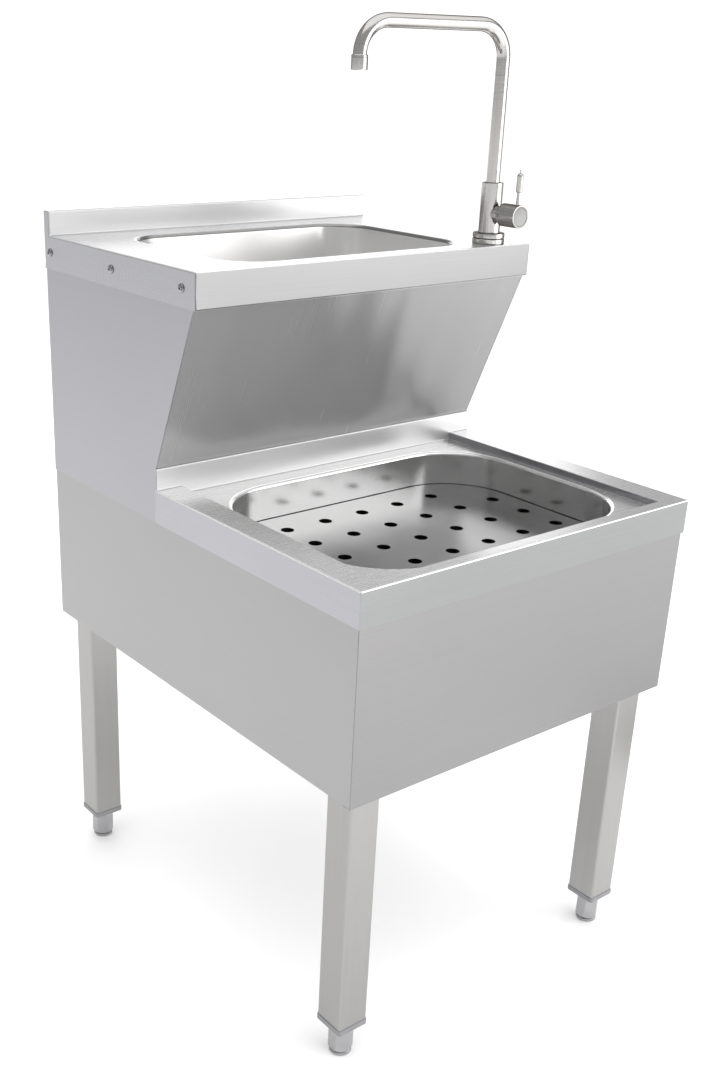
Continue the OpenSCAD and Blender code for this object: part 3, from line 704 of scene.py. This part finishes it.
def upper_worktop():
    """The upper top: aprons, an upstand behind, and the holes for the basin and the tap."""
    apron_z = UPPER_LO.z
    drop_z = WORKTOP_Z - BACK_DROP
    obj = block("worktop_upper", (UPPER_LO.x, UPPER_LO.y, apron_z), (UPPER_HI.x, BACK_Y, WORKTOP_Z))
    pick(obj, "FACE", lambda f: f.normal.z < -0.9)
    bpy.ops.mesh.delete(type="ONLY_FACE")
    # the rear strip is drawn up as the upstand
    pick(obj, "FACE", lambda f: f.normal.z > 0.9)
    bpy.ops.mesh.bisect(plane_co=(0, UPSTAND_Y, 0), plane_no=(0, 1, 0))
    pick(obj, "FACE", lambda f: f.normal.z > 0.9 and f.calc_center_median().y > UPSTAND_Y)
    draw_out(0, 0, UPPER_HI.z - WORKTOP_Z)
    # the sheet behind the upstand is cut off short
    pick(obj, "FACE", lambda f: f.normal.y > 0.9)
    bpy.ops.mesh.bisect(plane_co=(0, 0, drop_z), plane_no=(0, 0, 1))
    pick(obj, "FACE", lambda f: f.normal.y > 0.9 and f.calc_center_median().z < drop_z)
    bpy.ops.mesh.delete(type="FACE")
    # a hem is turned in under the front apron
    pick(obj, "EDGE", lambda e: e.is_boundary and all(
        p.z < apron_z + 0.001 and p.y < UPPER_LO.y + 0.001 for p in ends(e)))
    draw_out(0, HEM, 0)
    fold_edges(obj, FOLD, 4)
    modify(obj, "SOLIDIFY", thickness=SHEET, offset=-1)
    cut(obj, bowl_cutter(BASIN_LO, BASIN_HI, WORKTOP_Z, BASIN_CORNER, BASIN_RIM_R + LIP),
        rod("cutter", (TAP_X, TAP_Y, WORKTOP_Z - CUT_BELOW), TAP_HOLE_R, 2 * CUT_BELOW))
    return obj


def lower_worktop():
    """The lower top: a raised border round a recessed deck, and a low upstand behind."""
    recess_x = SLOP_HI.x - BORDER_SIDE
    recess_y = FRONT_Y + BORDER_FRONT
    upstand_y = SLOP_HI.y - LOW_UPSTAND_T
    obj = block("worktop_lower", SLOP_LO, (SLOP_HI.x, SLOP_HI.y, BORDER_Z))
    pick(obj, "FACE", lambda f: f.normal.z < -0.9 or f.normal.y > 0.9)
    bpy.ops.mesh.delete(type="ONLY_FACE")
    for place, normal in (((-recess_x, 0, 0), (1, 0, 0)), ((recess_x, 0, 0), (1, 0, 0)),
                          ((0, recess_y, 0), (0, 1, 0)), ((0, upstand_y, 0), (0, 1, 0))):
        pick(obj, "FACE", lambda f: f.normal.z > 0.9)
        bpy.ops.mesh.bisect(plane_co=place, plane_no=normal)

    def on_deck(f):
        c = f.calc_center_median()
        return f.normal.z > 0.9 and abs(c.x) < recess_x and recess_y < c.y < upstand_y

    pick(obj, "FACE", on_deck)
    draw_out(0, 0, DECK_Z - BORDER_Z)
    pick(obj, "FACE", lambda f: f.normal.z > 0.9 and f.calc_center_median().y > upstand_y)
    draw_out(0, 0, SLOP_HI.z - BORDER_Z)
    fold_edges(obj, 0.0013, 3)
    modify(obj, "SOLIDIFY", thickness=SHEET, offset=-1)
    cut(obj, bowl_cutter(BOWL_LO, BOWL_HI, DECK_Z, BOWL_CORNER, BOWL_RIM_R + LIP))
    return obj


def paint_light_on_faces(top, front_y, apron, upstand):
    """Gives a worktop's aprons, upstand, ends and outer folds their own material: painted shade on the
    aprons and ends, painted light on the upstand and a painted highlight on the outer folds; the ends'
    brush lines also run endways.
    """

    def faces_front(f):
        return f.normal.y < -0.7

    def in_front(f):
        return f.calc_center_median().y < front_y + 0.01

    def on_outer_fold(f):
        c = f.calc_center_median()
        leans = 0.25 < f.normal.z < 0.97 and (abs(f.normal.x) > 0.2 or f.normal.y < -0.2)
        return leans and (c.y < front_y + 0.003 or abs(c.x) > UPPER_HI.x - 0.003)

    paint_faces(top, apron, lambda f: faces_front(f) and in_front(f))
    paint_faces(top, upstand, lambda f: faces_front(f) and not in_front(f))
    paint_faces(top, TOP_END_SHADE_STEEL, lambda f: abs(f.normal.x) > 0.7)
    paint_faces(top, FOLD_HIGHLIGHT_STEEL, on_outer_fold)


upper = hand_over(upper_worktop(), "stand", UPPER_TOP_STEEL, "top_steel", "upper_top")
paint_light_on_faces(upper, UPPER_LO.y, UPPER_APRON_SHADE_STEEL, UPSTAND_LIT_STEEL)
lower = hand_over(lower_worktop(), "stand", LOWER_TOP_STEEL, "top_steel", "slop_top")
paint_light_on_faces(lower, SLOP_LO.y, LOWER_APRON_SHADE_STEEL, LOW_UPSTAND_LIT_STEEL)

# ---------------------------------------------------------------- panels and rails


def folded_strip(name, path, x0, x1, radius=FOLD, side=-1):
    """A folded sheet between x0 and x1 whose outer face follows the path of (y, z) corners."""
    (ya, za), (yb, zb) = path[0], path[1]
    length = math.hypot(yb - ya, zb - za)
    slant = math.atan2(zb - za, yb - ya)
    place = ((x0 + x1) / 2, (ya + yb) / 2, (za + zb) / 2)
    clear()
    bpy.ops.mesh.primitive_plane_add(size=1, location=place, rotation=(slant, 0, 0))
    bpy.context.object.scale = (x1 - x0, length, 1)
    obj = settled(name)
    end = (yb, zb)
    for y, z in path[2:]:
        near = Vector((0, *end))
        pick(obj, "EDGE", lambda e: all((Vector((0, p.y, p.z)) - near).length < 1e-5 for p in ends(e)))
        draw_out(0, y - end[0], z - end[1])
        end = (y, z)
    pick(obj, "EDGE", lambda e: len(e.link_faces) == 2)
    bpy.ops.mesh.bevel(offset=radius, segments=4, affect="EDGES", clamp_overlap=True)
    modify(obj, "SOLIDIFY", thickness=SHEET, offset=side)
    ease(obj, 0.0003, 2, 60)
    return obj


def skirt_front():
    """The front panel, with a return folded in along its foot."""
    lo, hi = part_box("skirt_front")
    path = [(lo.y, hi.z), (lo.y, lo.z), (hi.y, lo.z)]
    return folded_strip("skirt_front_panel", path, lo.x, hi.x, side=1)


def skirt_side(label, side):
    """A side panel: the strip is made along X, then turned so that it runs from front to back."""
    lo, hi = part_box("skirt_" + label)
    width = hi.x - lo.x
    outer = lo.x if side < 0 else hi.x
    path = [(0, hi.z), (0, lo.z), (width, lo.z)]
    obj = folded_strip(f"skirt_{label}_panel", path, lo.y, hi.y, side=1)
    only(obj)
    obj.matrix_world = Matrix(((0, -side, 0, outer), (1, 0, 0, 0), (0, 0, 1, 0), (0, 0, 0, 1)))
    bpy.ops.object.transform_apply(location=True, rotation=True, scale=True)
    turn_out(obj)
    return obj


def slope_panel():
    """The sloping panel, from behind the lower upstand up to the upper apron."""
    lo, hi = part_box("slope_panel")
    foot_y = hi.y - SHEET
    path = [(foot_y, lo.z), (foot_y, SLOP_HI.z), (lo.y, UPPER_LO.z), (lo.y, hi.z)]
    return folded_strip("slope_sheet", path, lo.x, hi.x, 0.003)


def rail(node, name):
    """A rear rail: a channel that opens to the front."""
    lo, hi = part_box(node)
    path = [(lo.y, hi.z), (hi.y, hi.z), (hi.y, lo.z), (lo.y, lo.z)]
    return folded_strip(name, path, lo.x, hi.x)


hand_over(skirt_front(), "stand", SKIRT_SHADE_STEEL, "panel_steel", "skirt_front")
for label, side in (("left", -1), ("right", 1)):
    hand_over(skirt_side(label, side), "stand", SIDE_STEEL, "panel_steel", "skirt_" + label)
for label in ("left", "right"):
    panel = from_frame("side_panel_" + label, "cheek_" + label, 0.0004)
    hand_over(panel, "stand", CHEEK_STEEL, "panel_steel", "side_panel_" + label)
hand_over(slope_panel(), "stand", SLOPE_STEEL, "slope_steel", "slope_panel")
for label in ("upper", "lower"):
    node = "rear_rail_" + label
    hand_over(rail(node, "rail_" + label), "stand", FRAME_STEEL, "frame_steel", node)
brackets = from_frame("leg_brackets", "brackets", 0.0004)
hand_over(brackets, "stand", FRAME_STEEL, "frame_steel", "leg_brackets")

# ---------------------------------------------------------------- legs and feet


def is_upright(edge, length):
    """Tells an edge that rises by more than a length."""
    return abs(ends(edge)[0].z - ends(edge)[1].z) > length


def leg(corner):
    """A square tube with round corners, open below and closed above."""
    lo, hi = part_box("leg_" + corner)
    obj = block("tube_" + corner, lo, hi)
    pick(obj, "FACE", lambda f: f.normal.z < -0.9)
    bpy.ops.mesh.delete(type="ONLY_FACE")
    pick(obj, "EDGE", lambda e: is_upright(e, 0.1))
    bpy.ops.mesh.bevel(offset=TUBE_R, segments=5, affect="EDGES")
    pick(obj, "EDGE", lambda e: is_fold(e) and min(p.z for p in ends(e)) > hi.z - 0.0001)
    bpy.ops.mesh.bevel(offset=0.001, segments=3, affect="EDGES")
    modify(obj, "SOLIDIFY", thickness=TUBE_WALL, offset=-1)
    return obj


def plug(corner):
    """A moulded flange under the tube, with a square spigot inside it."""
    lo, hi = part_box("plug_" + corner)
    mid = middle(lo, hi)
    width = hi.x - lo.x
    height = hi.z - lo.z
    flange_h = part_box("leg_" + corner)[0].z - lo.z
    name = f"plug_{corner}_moulding"
    obj = rounded_block(name, (mid.x, mid.y, lo.z), width, width, PLUG_R, flange_h, 5)
    pick(obj, "FACE", lambda f: f.normal.z > 0.9)
    bpy.ops.mesh.inset(thickness=SPIGOT_IN)
    draw_out(0, 0, height - flange_h)
    ease(obj, 0.0009, 3, 50)
    cut(obj, rod("cutter", (mid.x, mid.y, lo.z - 0.001), INSERT_R, height + 0.002, 32))
    return obj


def foot(corner):
    """A hexagonal foot with a round pad below and its screw above."""
    lo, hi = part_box("foot_" + corner)
    mid = middle(lo, hi)
    hex_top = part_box("plug_" + corner)[0].z - 0.0005
    start = (mid.x, mid.y, FOOT_LOW_Z)
    obj = rod(f"foot_{corner}_turned", start, FOOT_HEX_R, hex_top - FOOT_LOW_Z, 6)
    pick(obj, "EDGE", lambda e: is_upright(e, 0.01))
    bpy.ops.mesh.bevel(offset=0.0016, segments=3, affect="EDGES")
    clear()
    # the hexagon's corners are turned round above and below
    rounded = [(0, FOOT_LOW_Z), (0.0118, FOOT_LOW_Z), (0.0136, 0.0062), (0.0148, 0.0085),
               (0.0156, 0.012), (0.0156, hex_top - 0.003), (0.0136, hex_top), (0, hex_top)]
    rounder = set_down(turned("rounder", rounded), (mid.x, mid.y, 0))
    modify(obj, "BOOLEAN", object=rounder, operation="INTERSECT", solver="EXACT")
    bpy.data.objects.remove(rounder)
    screw_z = hex_top - 0.002
    screw = [(0, screw_z), (FOOT_SCREW_R, screw_z), (FOOT_SCREW_R, hi.z - 0.0015), (0.0035, hi.z),
             (0, hi.z)]
    pad = [(0, 0), (FOOT_PAD_R - 0.0015, 0), (FOOT_PAD_R - 0.0004, 0.0004), (FOOT_PAD_R, 0.0015),
           (FOOT_PAD_R, 0.0036), (FOOT_PAD_R - 0.001, 0.0046), (0.0095, 0.0052), (0.0095, 0.0070),
           (0, 0.0070)]
    for part in (turned("screw", screw, 32), turned("pad", pad)):
        let_in(obj, set_down(part, (mid.x, mid.y, 0)))
    return obj


for corner in ("front_left", "front_right", "rear_left", "rear_right"):
    hand_over(leg(corner), "stand", LEG_STEEL, "leg_steel", "leg_" + corner)
    hand_over(plug(corner), "stand", PLUG_PLASTIC, "plug_plastic", "plug_" + corner)
    hand_over(foot(corner), "foot_" + corner, FOOT_METAL, "foot_metal", "foot_" + corner)

# ---------------------------------------------------------------- strainer plate and lugs


def strainer_plate():
    """A flat plate with a grid of punched holes, without the four that would meet its round corners."""
    mid = middle(PLATE_LO, PLATE_HI)
    width = PLATE_HI.x - PLATE_LO.x
    depth = PLATE_HI.y - PLATE_LO.y
    thick = PLATE_HI.z - PLATE_LO.z
    start = (mid.x, mid.y, PLATE_LO.z)
    obj = rounded_block("strainer", start, width, depth, PLATE_CORNER, thick, 14)
    holes = []
    for i in range(-3, 4):
        for j in range(-2, 3):
            if abs(i) < 3 or abs(j) < 2:
                place = (mid.x + i * HOLE_PITCH_X, mid.y + j * HOLE_PITCH_Y, PLATE_LO.z - 0.001)
                holes.append(rod("hole", place, HOLE_R, thick + 0.002, 40))
    clear()
    for hole in holes:
        hole.select_set(True)
    bpy.context.view_layer.objects.active = holes[0]
    bpy.ops.object.join()
    cut(obj, holes[0])
    ease(obj, 0.0004, 2, 50)
    return obj


hand_over(strainer_plate(), "plate", PLATE_STEEL, "plate_steel", "strainer_plate")
hand_over(from_frame("plate_lugs", "lugs", 0.0004), "stand", FRAME_STEEL, "frame_steel", "plate_lugs")

# ---------------------------------------------------------------- apron screws and nuts


def button_screw():
    """A domed head with a hexagonal socket and its shank, made upright at the origin."""
    outline = [(0, HEAD_H)]
    for a in (14, 28, 42, 56, 70):
        turn = math.radians(a)
        outline.append((HEAD_R * math.sin(turn) * 1.03, HEAD_H * math.cos(turn) ** 0.8))
    outline += [(HEAD_R, 0.0004), (HEAD_R - 0.0002, 0.0), (SCREW_R, 0.0), (SCREW_R, SCREW_END + 0.0008),
                (SCREW_R - 0.0005, SCREW_END), (0, SCREW_END)]
    obj = turned("button_screw", outline, 40)
    cut(obj, rod("socket", (0, 0, 0.0010), SOCKET_R, 0.003, 6))
    ease(obj, 0.00015, 2, 40)
    return obj


screw = button_screw()
screw_lo, screw_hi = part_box("apron_screws")
screw_z = (screw_lo.z + screw_hi.z) / 2
rear_y = screw_hi.y - HEAD_R
front_y = screw_lo.y + HEAD_R
for label, side in (("left", -1), ("right", 1)):
    for number, y in enumerate((front_y, (front_y + rear_y) / 2, rear_y), start=1):
        one = copied(screw, f"screw_{label}_{number}")
        set_down(one, (side * UPPER_HI.x, y, screw_z), (0, side * 90, 0))
        hand_over(one, "stand", SCREW_STEEL, "screw_steel", "apron_screws")
bpy.data.objects.remove(screw)
hand_over(from_frame("apron_nuts", "nuts"), "stand", SCREW_STEEL, "screw_steel", "apron_nuts")

# ---------------------------------------------------------------- wastes

for bowl in ("hand", "slop"):
    flange = from_frame(bowl + "_waste_flange", bowl + "_strainer_cup", 0.0004)
    gasket = from_frame(bowl + "_waste_gasket", bowl + "_gasket", 0.0004)
    nut = from_frame(bowl + "_waste_nut", bowl + "_nut", 0.0008)
    tail = from_frame(bowl + "_tailpiece", bowl + "_tail", 0.0005)
    hand_over(flange, "stand", WASTE_STEEL, "waste_steel", bowl + "_waste_flange")
    hand_over(gasket, "stand", RUBBER, "rubber_seal", bowl + "_waste_gasket")
    hand_over(nut, "stand", WASTE_PLASTIC, "waste_plastic", bowl + "_waste_nut")
    hand_over(tail, "stand", WASTE_PLASTIC, "waste_plastic", bowl + "_tailpiece")

# ---------------------------------------------------------------- tap


def tap_ring():
    """The loose base ring between the worktop and the seal."""
    h = RING_HI.z - RING_LO.z
    r = (RING_HI.x - RING_LO.x) / 2
    edge = 0.0006
    profile = [(TAP_HOLE_R, 0), (r - edge, 0), (r, edge), (r, h - edge), (r - edge, h), (TAP_HOLE_R, h),
               (TAP_HOLE_R, 0)]
    return set_down(turned("tap_base_ring", profile, 64), (TAP_X, TAP_Y, RING_LO.z))


def tap_body():
    """Shank, foot ring and body in one turned piece, with the valve boss let into its side."""
    lo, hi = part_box("tap_body")
    foot_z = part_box("tap_seal")[1].z
    ring_r = (RING_HI.x - RING_LO.x) / 2
    step = foot_z + BODY_RING_H
    bore_z = STUB_LO.z - 0.001
    shank = [(0, lo.z), (BODY_R - 0.001, lo.z), (BODY_R, lo.z + 0.001), (BODY_R, foot_z)]
    ring = [(ring_r - 0.0006, foot_z), (ring_r, foot_z + 0.0006), (ring_r, step - 0.0012),
            (ring_r - 0.0004, step - 0.0004), (ring_r - 0.0013, step)]
    body = [(BODY_R + 0.0010, step), (BODY_R + 0.0003, step + 0.0003), (BODY_R, step + 0.0010),
            (BODY_R, hi.z - 0.0007), (BODY_R - 0.0002, hi.z - 0.0002), (BODY_R - 0.0007, hi.z)]
    bore = [(BODY_BORE_R + 0.0004, hi.z), (BODY_BORE_R, hi.z - 0.0004), (BODY_BORE_R, bore_z), (0, bore_z)]
    obj = set_down(turned("tap_casting", shank + ring + body + bore, 64), (TAP_X, TAP_Y, 0))
    to_front = ((TAP_X, TAP_Y, VALVE_Z), (90, 0, 0))
    reach = TAP_Y - lo.y
    boss = [(0, 0), (BOSS_R, 0), (BOSS_R, reach - 0.0005), (BOSS_R - 0.0005, reach), (0, reach)]
    let_in(obj, set_down(turned("boss", boss), *to_front))
    hollow = [(0, BOSS_BORE_FROM), (BOSS_BORE_R, BOSS_BORE_FROM), (BOSS_BORE_R, BOSS_BORE_TO),
              (0, BOSS_BORE_TO)]
    cut(obj, set_down(turned("bore", hollow), *to_front))
    for side in (-1, 1):
        place = (TAP_X + side * INLET_OFF, TAP_Y, lo.z - 0.001)
        cut(obj, rod("inlet", place, INLET_R, INLET_DEPTH, 32))
    return obj


def bent_spout():
    """The tube: up, round, across, round and down, drawn from one ring."""
    bend_z = SPOUT_HI.z - SPOUT_R - SPOUT_BEND_R
    start_z = SPOUT_LO.z
    clear()
    bpy.ops.mesh.primitive_circle_add(vertices=40, radius=SPOUT_R, location=(0, 0, start_z))
    obj = settled("spout_tube")
    pick(obj, "EDGE", lambda e: True)
    draw_out(0, 0, bend_z - start_z)
    quarter_bend(SPOUT_BEND_R, bend_z)
    draw_out(SPOUT_REACH - 2 * SPOUT_BEND_R, 0, 0)
    quarter_bend(SPOUT_REACH - SPOUT_BEND_R, bend_z)
    draw_out(0, 0, -SPOUT_TIP)
    turn_out(obj)
    modify(obj, "SOLIDIFY", thickness=SPOUT_WALL, offset=-1)
    return set_down(obj, (TAP_X, TAP_Y, 0), (0, 0, 180 - SPOUT_YAW))


def quarter_bend(x, z):
    """Bends the open end of the tube a quarter turn round a point in the XZ plane."""
    bpy.ops.mesh.spin(steps=18, angle=-math.pi / 2, center=(x, 0, z), axis=(0, 1, 0))


def aerator_collar():
    """The screwed collar at the spout's end, with a groove near its top and a soft lower rim."""
    h = COLLAR_HI.z - COLLAR_LO.z
    r = (COLLAR_HI.x - COLLAR_LO.x) / 2
    groove = r - 0.0004
    bore = SPOUT_R + 0.00005
    profile = [
        (SPOUT_R, 0), (r - 0.0010, 0), (r - 0.0003, 0.0003), (r, 0.0010), (r, h - 0.0034),
        (groove, h - 0.0031), (groove, h - 0.0025), (r, h - 0.0022), (r, h - 0.0006), (r - 0.0006, h),
        (bore, h), (bore, 0.0030), (SPOUT_R, 0.0029), (SPOUT_R, 0),
    ]
    return set_down(turned("aerator_shell", profile, 56), (TIP.x, TIP.y, COLLAR_LO.z))


hand_over(tap_ring(), "stand", TAP_STEEL, "tap_steel", "tap_ring")
hand_over(from_frame("tap_seal", "base_seal", 0.0001), "stand", RUBBER, "rubber_seal", "tap_seal")
hand_over(tap_body(), "stand", TAP_STEEL, "tap_steel", "tap_body")
hand_over(from_frame("tap_washer", "washer"), "stand", SCREW_STEEL, "screw_steel", "tap_washer")
hand_over(from_frame("tap_locknut", "locknut", 0.0008), "stand", BRASS, "brass_nut", "tap_locknut")
hand_over(bent_spout(), "spout", TAP_STEEL, "tap_steel", "spout")
hand_over(from_frame("spout_stub", "stub"), "spout", TAP_STEEL, "tap_steel", "spout_stub")
hand_over(from_frame("spout_o_rings", "o_rings", 0), "spout", RUBBER, "rubber_seal", "spout_o_rings")
hand_over(aerator_collar(), "spout", TAP_STEEL, "tap_steel", "aerator_collar")
sieve = from_frame("aerator_insert", "aerator_sieve", 0.0001)
hand_over(sieve, "spout", GRID_PLASTIC, "aerator_grid", "aerator_insert")
hand_over(from_frame("cartridge", "valve_cartridge"), "stand", IVORY, "cartridge_body", "cartridge")
valve_ring = from_frame("cartridge_ring", "valve_ring", 0.0002)
hand_over(valve_ring, "stand", BRASS, "brass_nut", "cartridge_ring")
hand_over(from_frame("spindle", "valve_spindle"), "valve_stem", SCREW_STEEL, "screw_steel", "spindle")
hand_over(from_frame("cross_pin", "pivot_pin"), "valve_stem", SCREW_STEEL, "screw_steel", "cross_pin")


def handle_cap():
    """A cup with a rounded back rim and a thin raised lip round its front."""
    r = (CAP_HI.x - CAP_LO.x) / 2
    length = CAP_HI.y - CAP_LO.y
    inner = r - CAP_WALL
    seat = inner - 0.0005
    web = length - CAP_WEB
    back = [(inner, 0.0010), (inner + 0.0002, 0.0002), (inner + 0.0006, 0), (r - 0.0006, 0.0002),
            (r - 0.0001, 0.0008), (r, 0.0016)]
    front = [(r, length - 0.0008), (r - 0.0002, length - 0.0002), (r - 0.0008, length),
             (inner - 0.0002, length), (seat, length - 0.0003), (seat, length - 0.0020)]
    inside = [(0, length - 0.0020), (0, web), (inner, web), (inner, 0.0010)]
    obj = turned("handle_cup", back + front + inside, 64)
    set_down(obj, (TAP_X, CAP_HI.y, VALVE_Z), (90, 0, 0))
    pin_y = middle(*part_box("cross_pin")).y
    lever_y = middle(GRIP_LO, GRIP_HI).y
    pin_hole = turned("pin_hole", [(0, -0.02), (PIN_HOLE_R, -0.02), (PIN_HOLE_R, 0.02), (0, 0.02)], 24)
    set_down(pin_hole, (TAP_X, pin_y, VALVE_Z), (0, 90, 0))
    cut(obj, pin_hole, rod("lever_hole", (TAP_X, lever_y, VALVE_Z + 0.004), LEVER_HOLE_R, 0.02, 32))
    return obj


def handle_disc():
    """The end disc: a shallow dish with a fine step near its rim."""
    lo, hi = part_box("handle_disc")
    r = (hi.x - lo.x) / 2
    t = hi.y - lo.y
    profile = [(0, 0), (r - 0.0002, 0), (r, 0.0002), (r, t - 0.0003), (r - 0.0003, t), (r - 0.0012, t),
               (r - 0.0016, t - 0.0003), (0, t - 0.0004)]
    return set_down(turned("end_disc", profile, 64), (TAP_X, hi.y, VALVE_Z), (90, 0, 0))


def lever_rod():
    """The lever's rod, a little slimmer towards the grip."""
    lo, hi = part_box("lever_rod")
    r = (hi.x - lo.x) / 2
    slim = r - 0.0004
    mid = middle(lo, hi)
    h = hi.z - lo.z
    profile = [(0, 0), (slim, 0), (r, 0.0004), (r, h * 0.35), (slim, h * 0.65), (slim, h), (0, h)]
    return set_down(turned("lever_stem", profile, 32), (mid.x, mid.y, lo.z))


def lever_grip():
    """The grip: a slim barrel with a rounded shoulder and a small nub."""
    r = (GRIP_HI.x - GRIP_LO.x) / 2
    h = GRIP_HI.z - GRIP_LO.z
    mid = middle(GRIP_LO, GRIP_HI)
    shoulder = h - NUB_H
    mouth = (LEVER_HOLE_R, 0.0002)
    profile = [mouth, (0.0028, 0), (r - 0.0008, 0), (r - 0.0001, 0.0006), (r, 0.0014), (r, shoulder - r)]
    for a in (15, 30, 45, 60, 72):
        turn = math.radians(a)
        profile.append((r * math.cos(turn), shoulder - r + r * math.sin(turn)))
    profile += [(NUB_R, shoulder - 0.0002), (NUB_R, h - 0.0005), (0.0007, h), (0, h), (0, 0.005),
                (LEVER_HOLE_R, 0.005), mouth]
    return set_down(turned("lever_barrel", profile, 40), (mid.x, mid.y, GRIP_LO.z))


hand_over(handle_cap(), "handle", CAP_STEEL, "tap_steel", "handle_cap")
hand_over(handle_disc(), "handle", DISC_STEEL, "disc_steel", "handle_disc")
hand_over(lever_rod(), "handle", TAP_STEEL, "tap_steel", "lever_rod")
hand_over(lever_grip(), "handle", TAP_STEEL, "tap_steel", "lever_grip")

# ---------------------------------------------------------------- floor, light and camera


def floor():
    """A wide, plain, pale floor."""
    clear()
    bpy.ops.mesh.primitive_plane_add(size=60, location=(0, 0, 0))
    obj = settled("floor")
    material, nodes, links, shader = finish("studio_floor", (0.90, 0.90, 0.90), 1.0)
    shader.inputs["Specular IOR Level"].default_value = 0
    shade = scaled_noise(nodes, links, (2, 2, 2), detail=1.0)
    tone = tint(nodes, links, shade, (0.89, 0.89, 0.89), (0.91, 0.91, 0.91))
    links.new(tone, shader.inputs["Base Color"])
    obj.data.materials.append(material)


def lamp(name, place, aim, size, power):
    """A soft lamp with a rectangular face."""
    light = bpy.data.lights.new(name, "AREA")
    light.shape = "RECTANGLE"
    light.size, light.size_y = size
    light.energy = power
    obj = bpy.data.objects.new(name, light)
    bpy.context.scene.collection.objects.link(obj)
    obj.location = place
    obj.rotation_euler = (Vector(aim) - Vector(place)).to_track_quat("-Z", "Y").to_euler()


def dark_card(name, place, aim, size, tone=0.05):
    """A card that only reflections see, which gives polished steel its dark edges."""
    clear()
    bpy.ops.mesh.primitive_plane_add(size=1)
    obj = settled(name)
    obj.scale = (size[0], size[1], 1)
    obj.location = place
    obj.rotation_euler = (Vector(aim) - Vector(place)).to_track_quat("Z", "Y").to_euler()
    obj.data.materials.append(finish(name, (tone, tone, tone), 0.9)[0])
    obj.visible_camera = False
    obj.visible_diffuse = False
    obj.visible_shadow = False


def surroundings():
    """An even white room."""
    world = bpy.data.worlds.new("studio")
    bpy.context.scene.world = world
    world.use_nodes = True
    nodes, links = world.node_tree.nodes, world.node_tree.links
    back = nodes["Background"]
    back.inputs["Color"].default_value = (1, 1, 1, 1)
    # polished steel sees a dimmer room than the floor does, which gives its bends their dark edges
    path = nodes.new("ShaderNodeLightPath")
    room = nodes.new("ShaderNodeMix")
    room.inputs["A"].default_value = 1.2
    room.inputs["B"].default_value = 0.42
    links.new(path.outputs["Is Glossy Ray"], room.inputs["Factor"])
    links.new(room.outputs["Result"], back.inputs["Strength"])


def camera():
    """Stands to the left, in front and above, and looks down at the middle of the stand."""
    bearing, down, lean = (math.radians(a) for a in (37.57, 22.26, 1.5))
    level = math.cos(down)
    ahead = Vector((math.sin(bearing) * level, math.cos(bearing) * level, -math.sin(down)))
    right = Vector((math.cos(bearing), -math.sin(bearing), 0))
    up = right.cross(ahead)
    right_leant = right * math.cos(lean) + up * math.sin(lean)
    up_leant = up * math.cos(lean) - right * math.sin(lean)
    data = bpy.data.cameras.new("camera")
    obj = bpy.data.objects.new("camera", data)
    bpy.context.scene.collection.objects.link(obj)
    place = Vector((-0.992, -1.1435, 1.057))
    turn = Matrix((right_leant, up_leant, -ahead)).transposed().to_4x4()
    obj.matrix_world = Matrix.Translation(place) @ turn
    data.sensor_width = 36
    data.lens = 42.72
    data.shift_x = 0.0755
    data.shift_y = 0.0386
    data.clip_start = 0.05
    data.clip_end = 100
    bpy.context.scene.camera = obj


floor()
surroundings()
lamp("overhead", (0.3, -0.3, 3.2), (0, 0, 0.6), (4.0, 4.0), 46)
lamp("rear", (1.6, 3.2, 1.35), (0, 0, 0.75), (3.8, 1.9), 38)
lamp("front_right", (2.2, -2.4, 1.35), (0, 0, 0.6), (2.8, 2.2), 40)
lamp("strip", (0.15, -1.3, 0.45), (0.2, 0, 0.95), (0.4, 0.36), 1.6)
dark_card("card_rear", (0.99, 1.03, 0.49), (0.2, 0, 0.49), (3.4, 0.42))
dark_card("card_low", (0.98, -0.25, 0.02), (0.98, -0.25, 1), (0.8, 0.8), 0.42)
dark_card("card_left", (-1.15, -0.15, 0.48), (0.2, 0, 0.48), (1.2, 0.40), 0.12)
dark_card("card_right", (1.42, -0.44, 0.48), (0.2, 0, 0.48), (0.8, 0.38))
camera()
bpy.context.scene.view_settings.view_transform = "Standard"
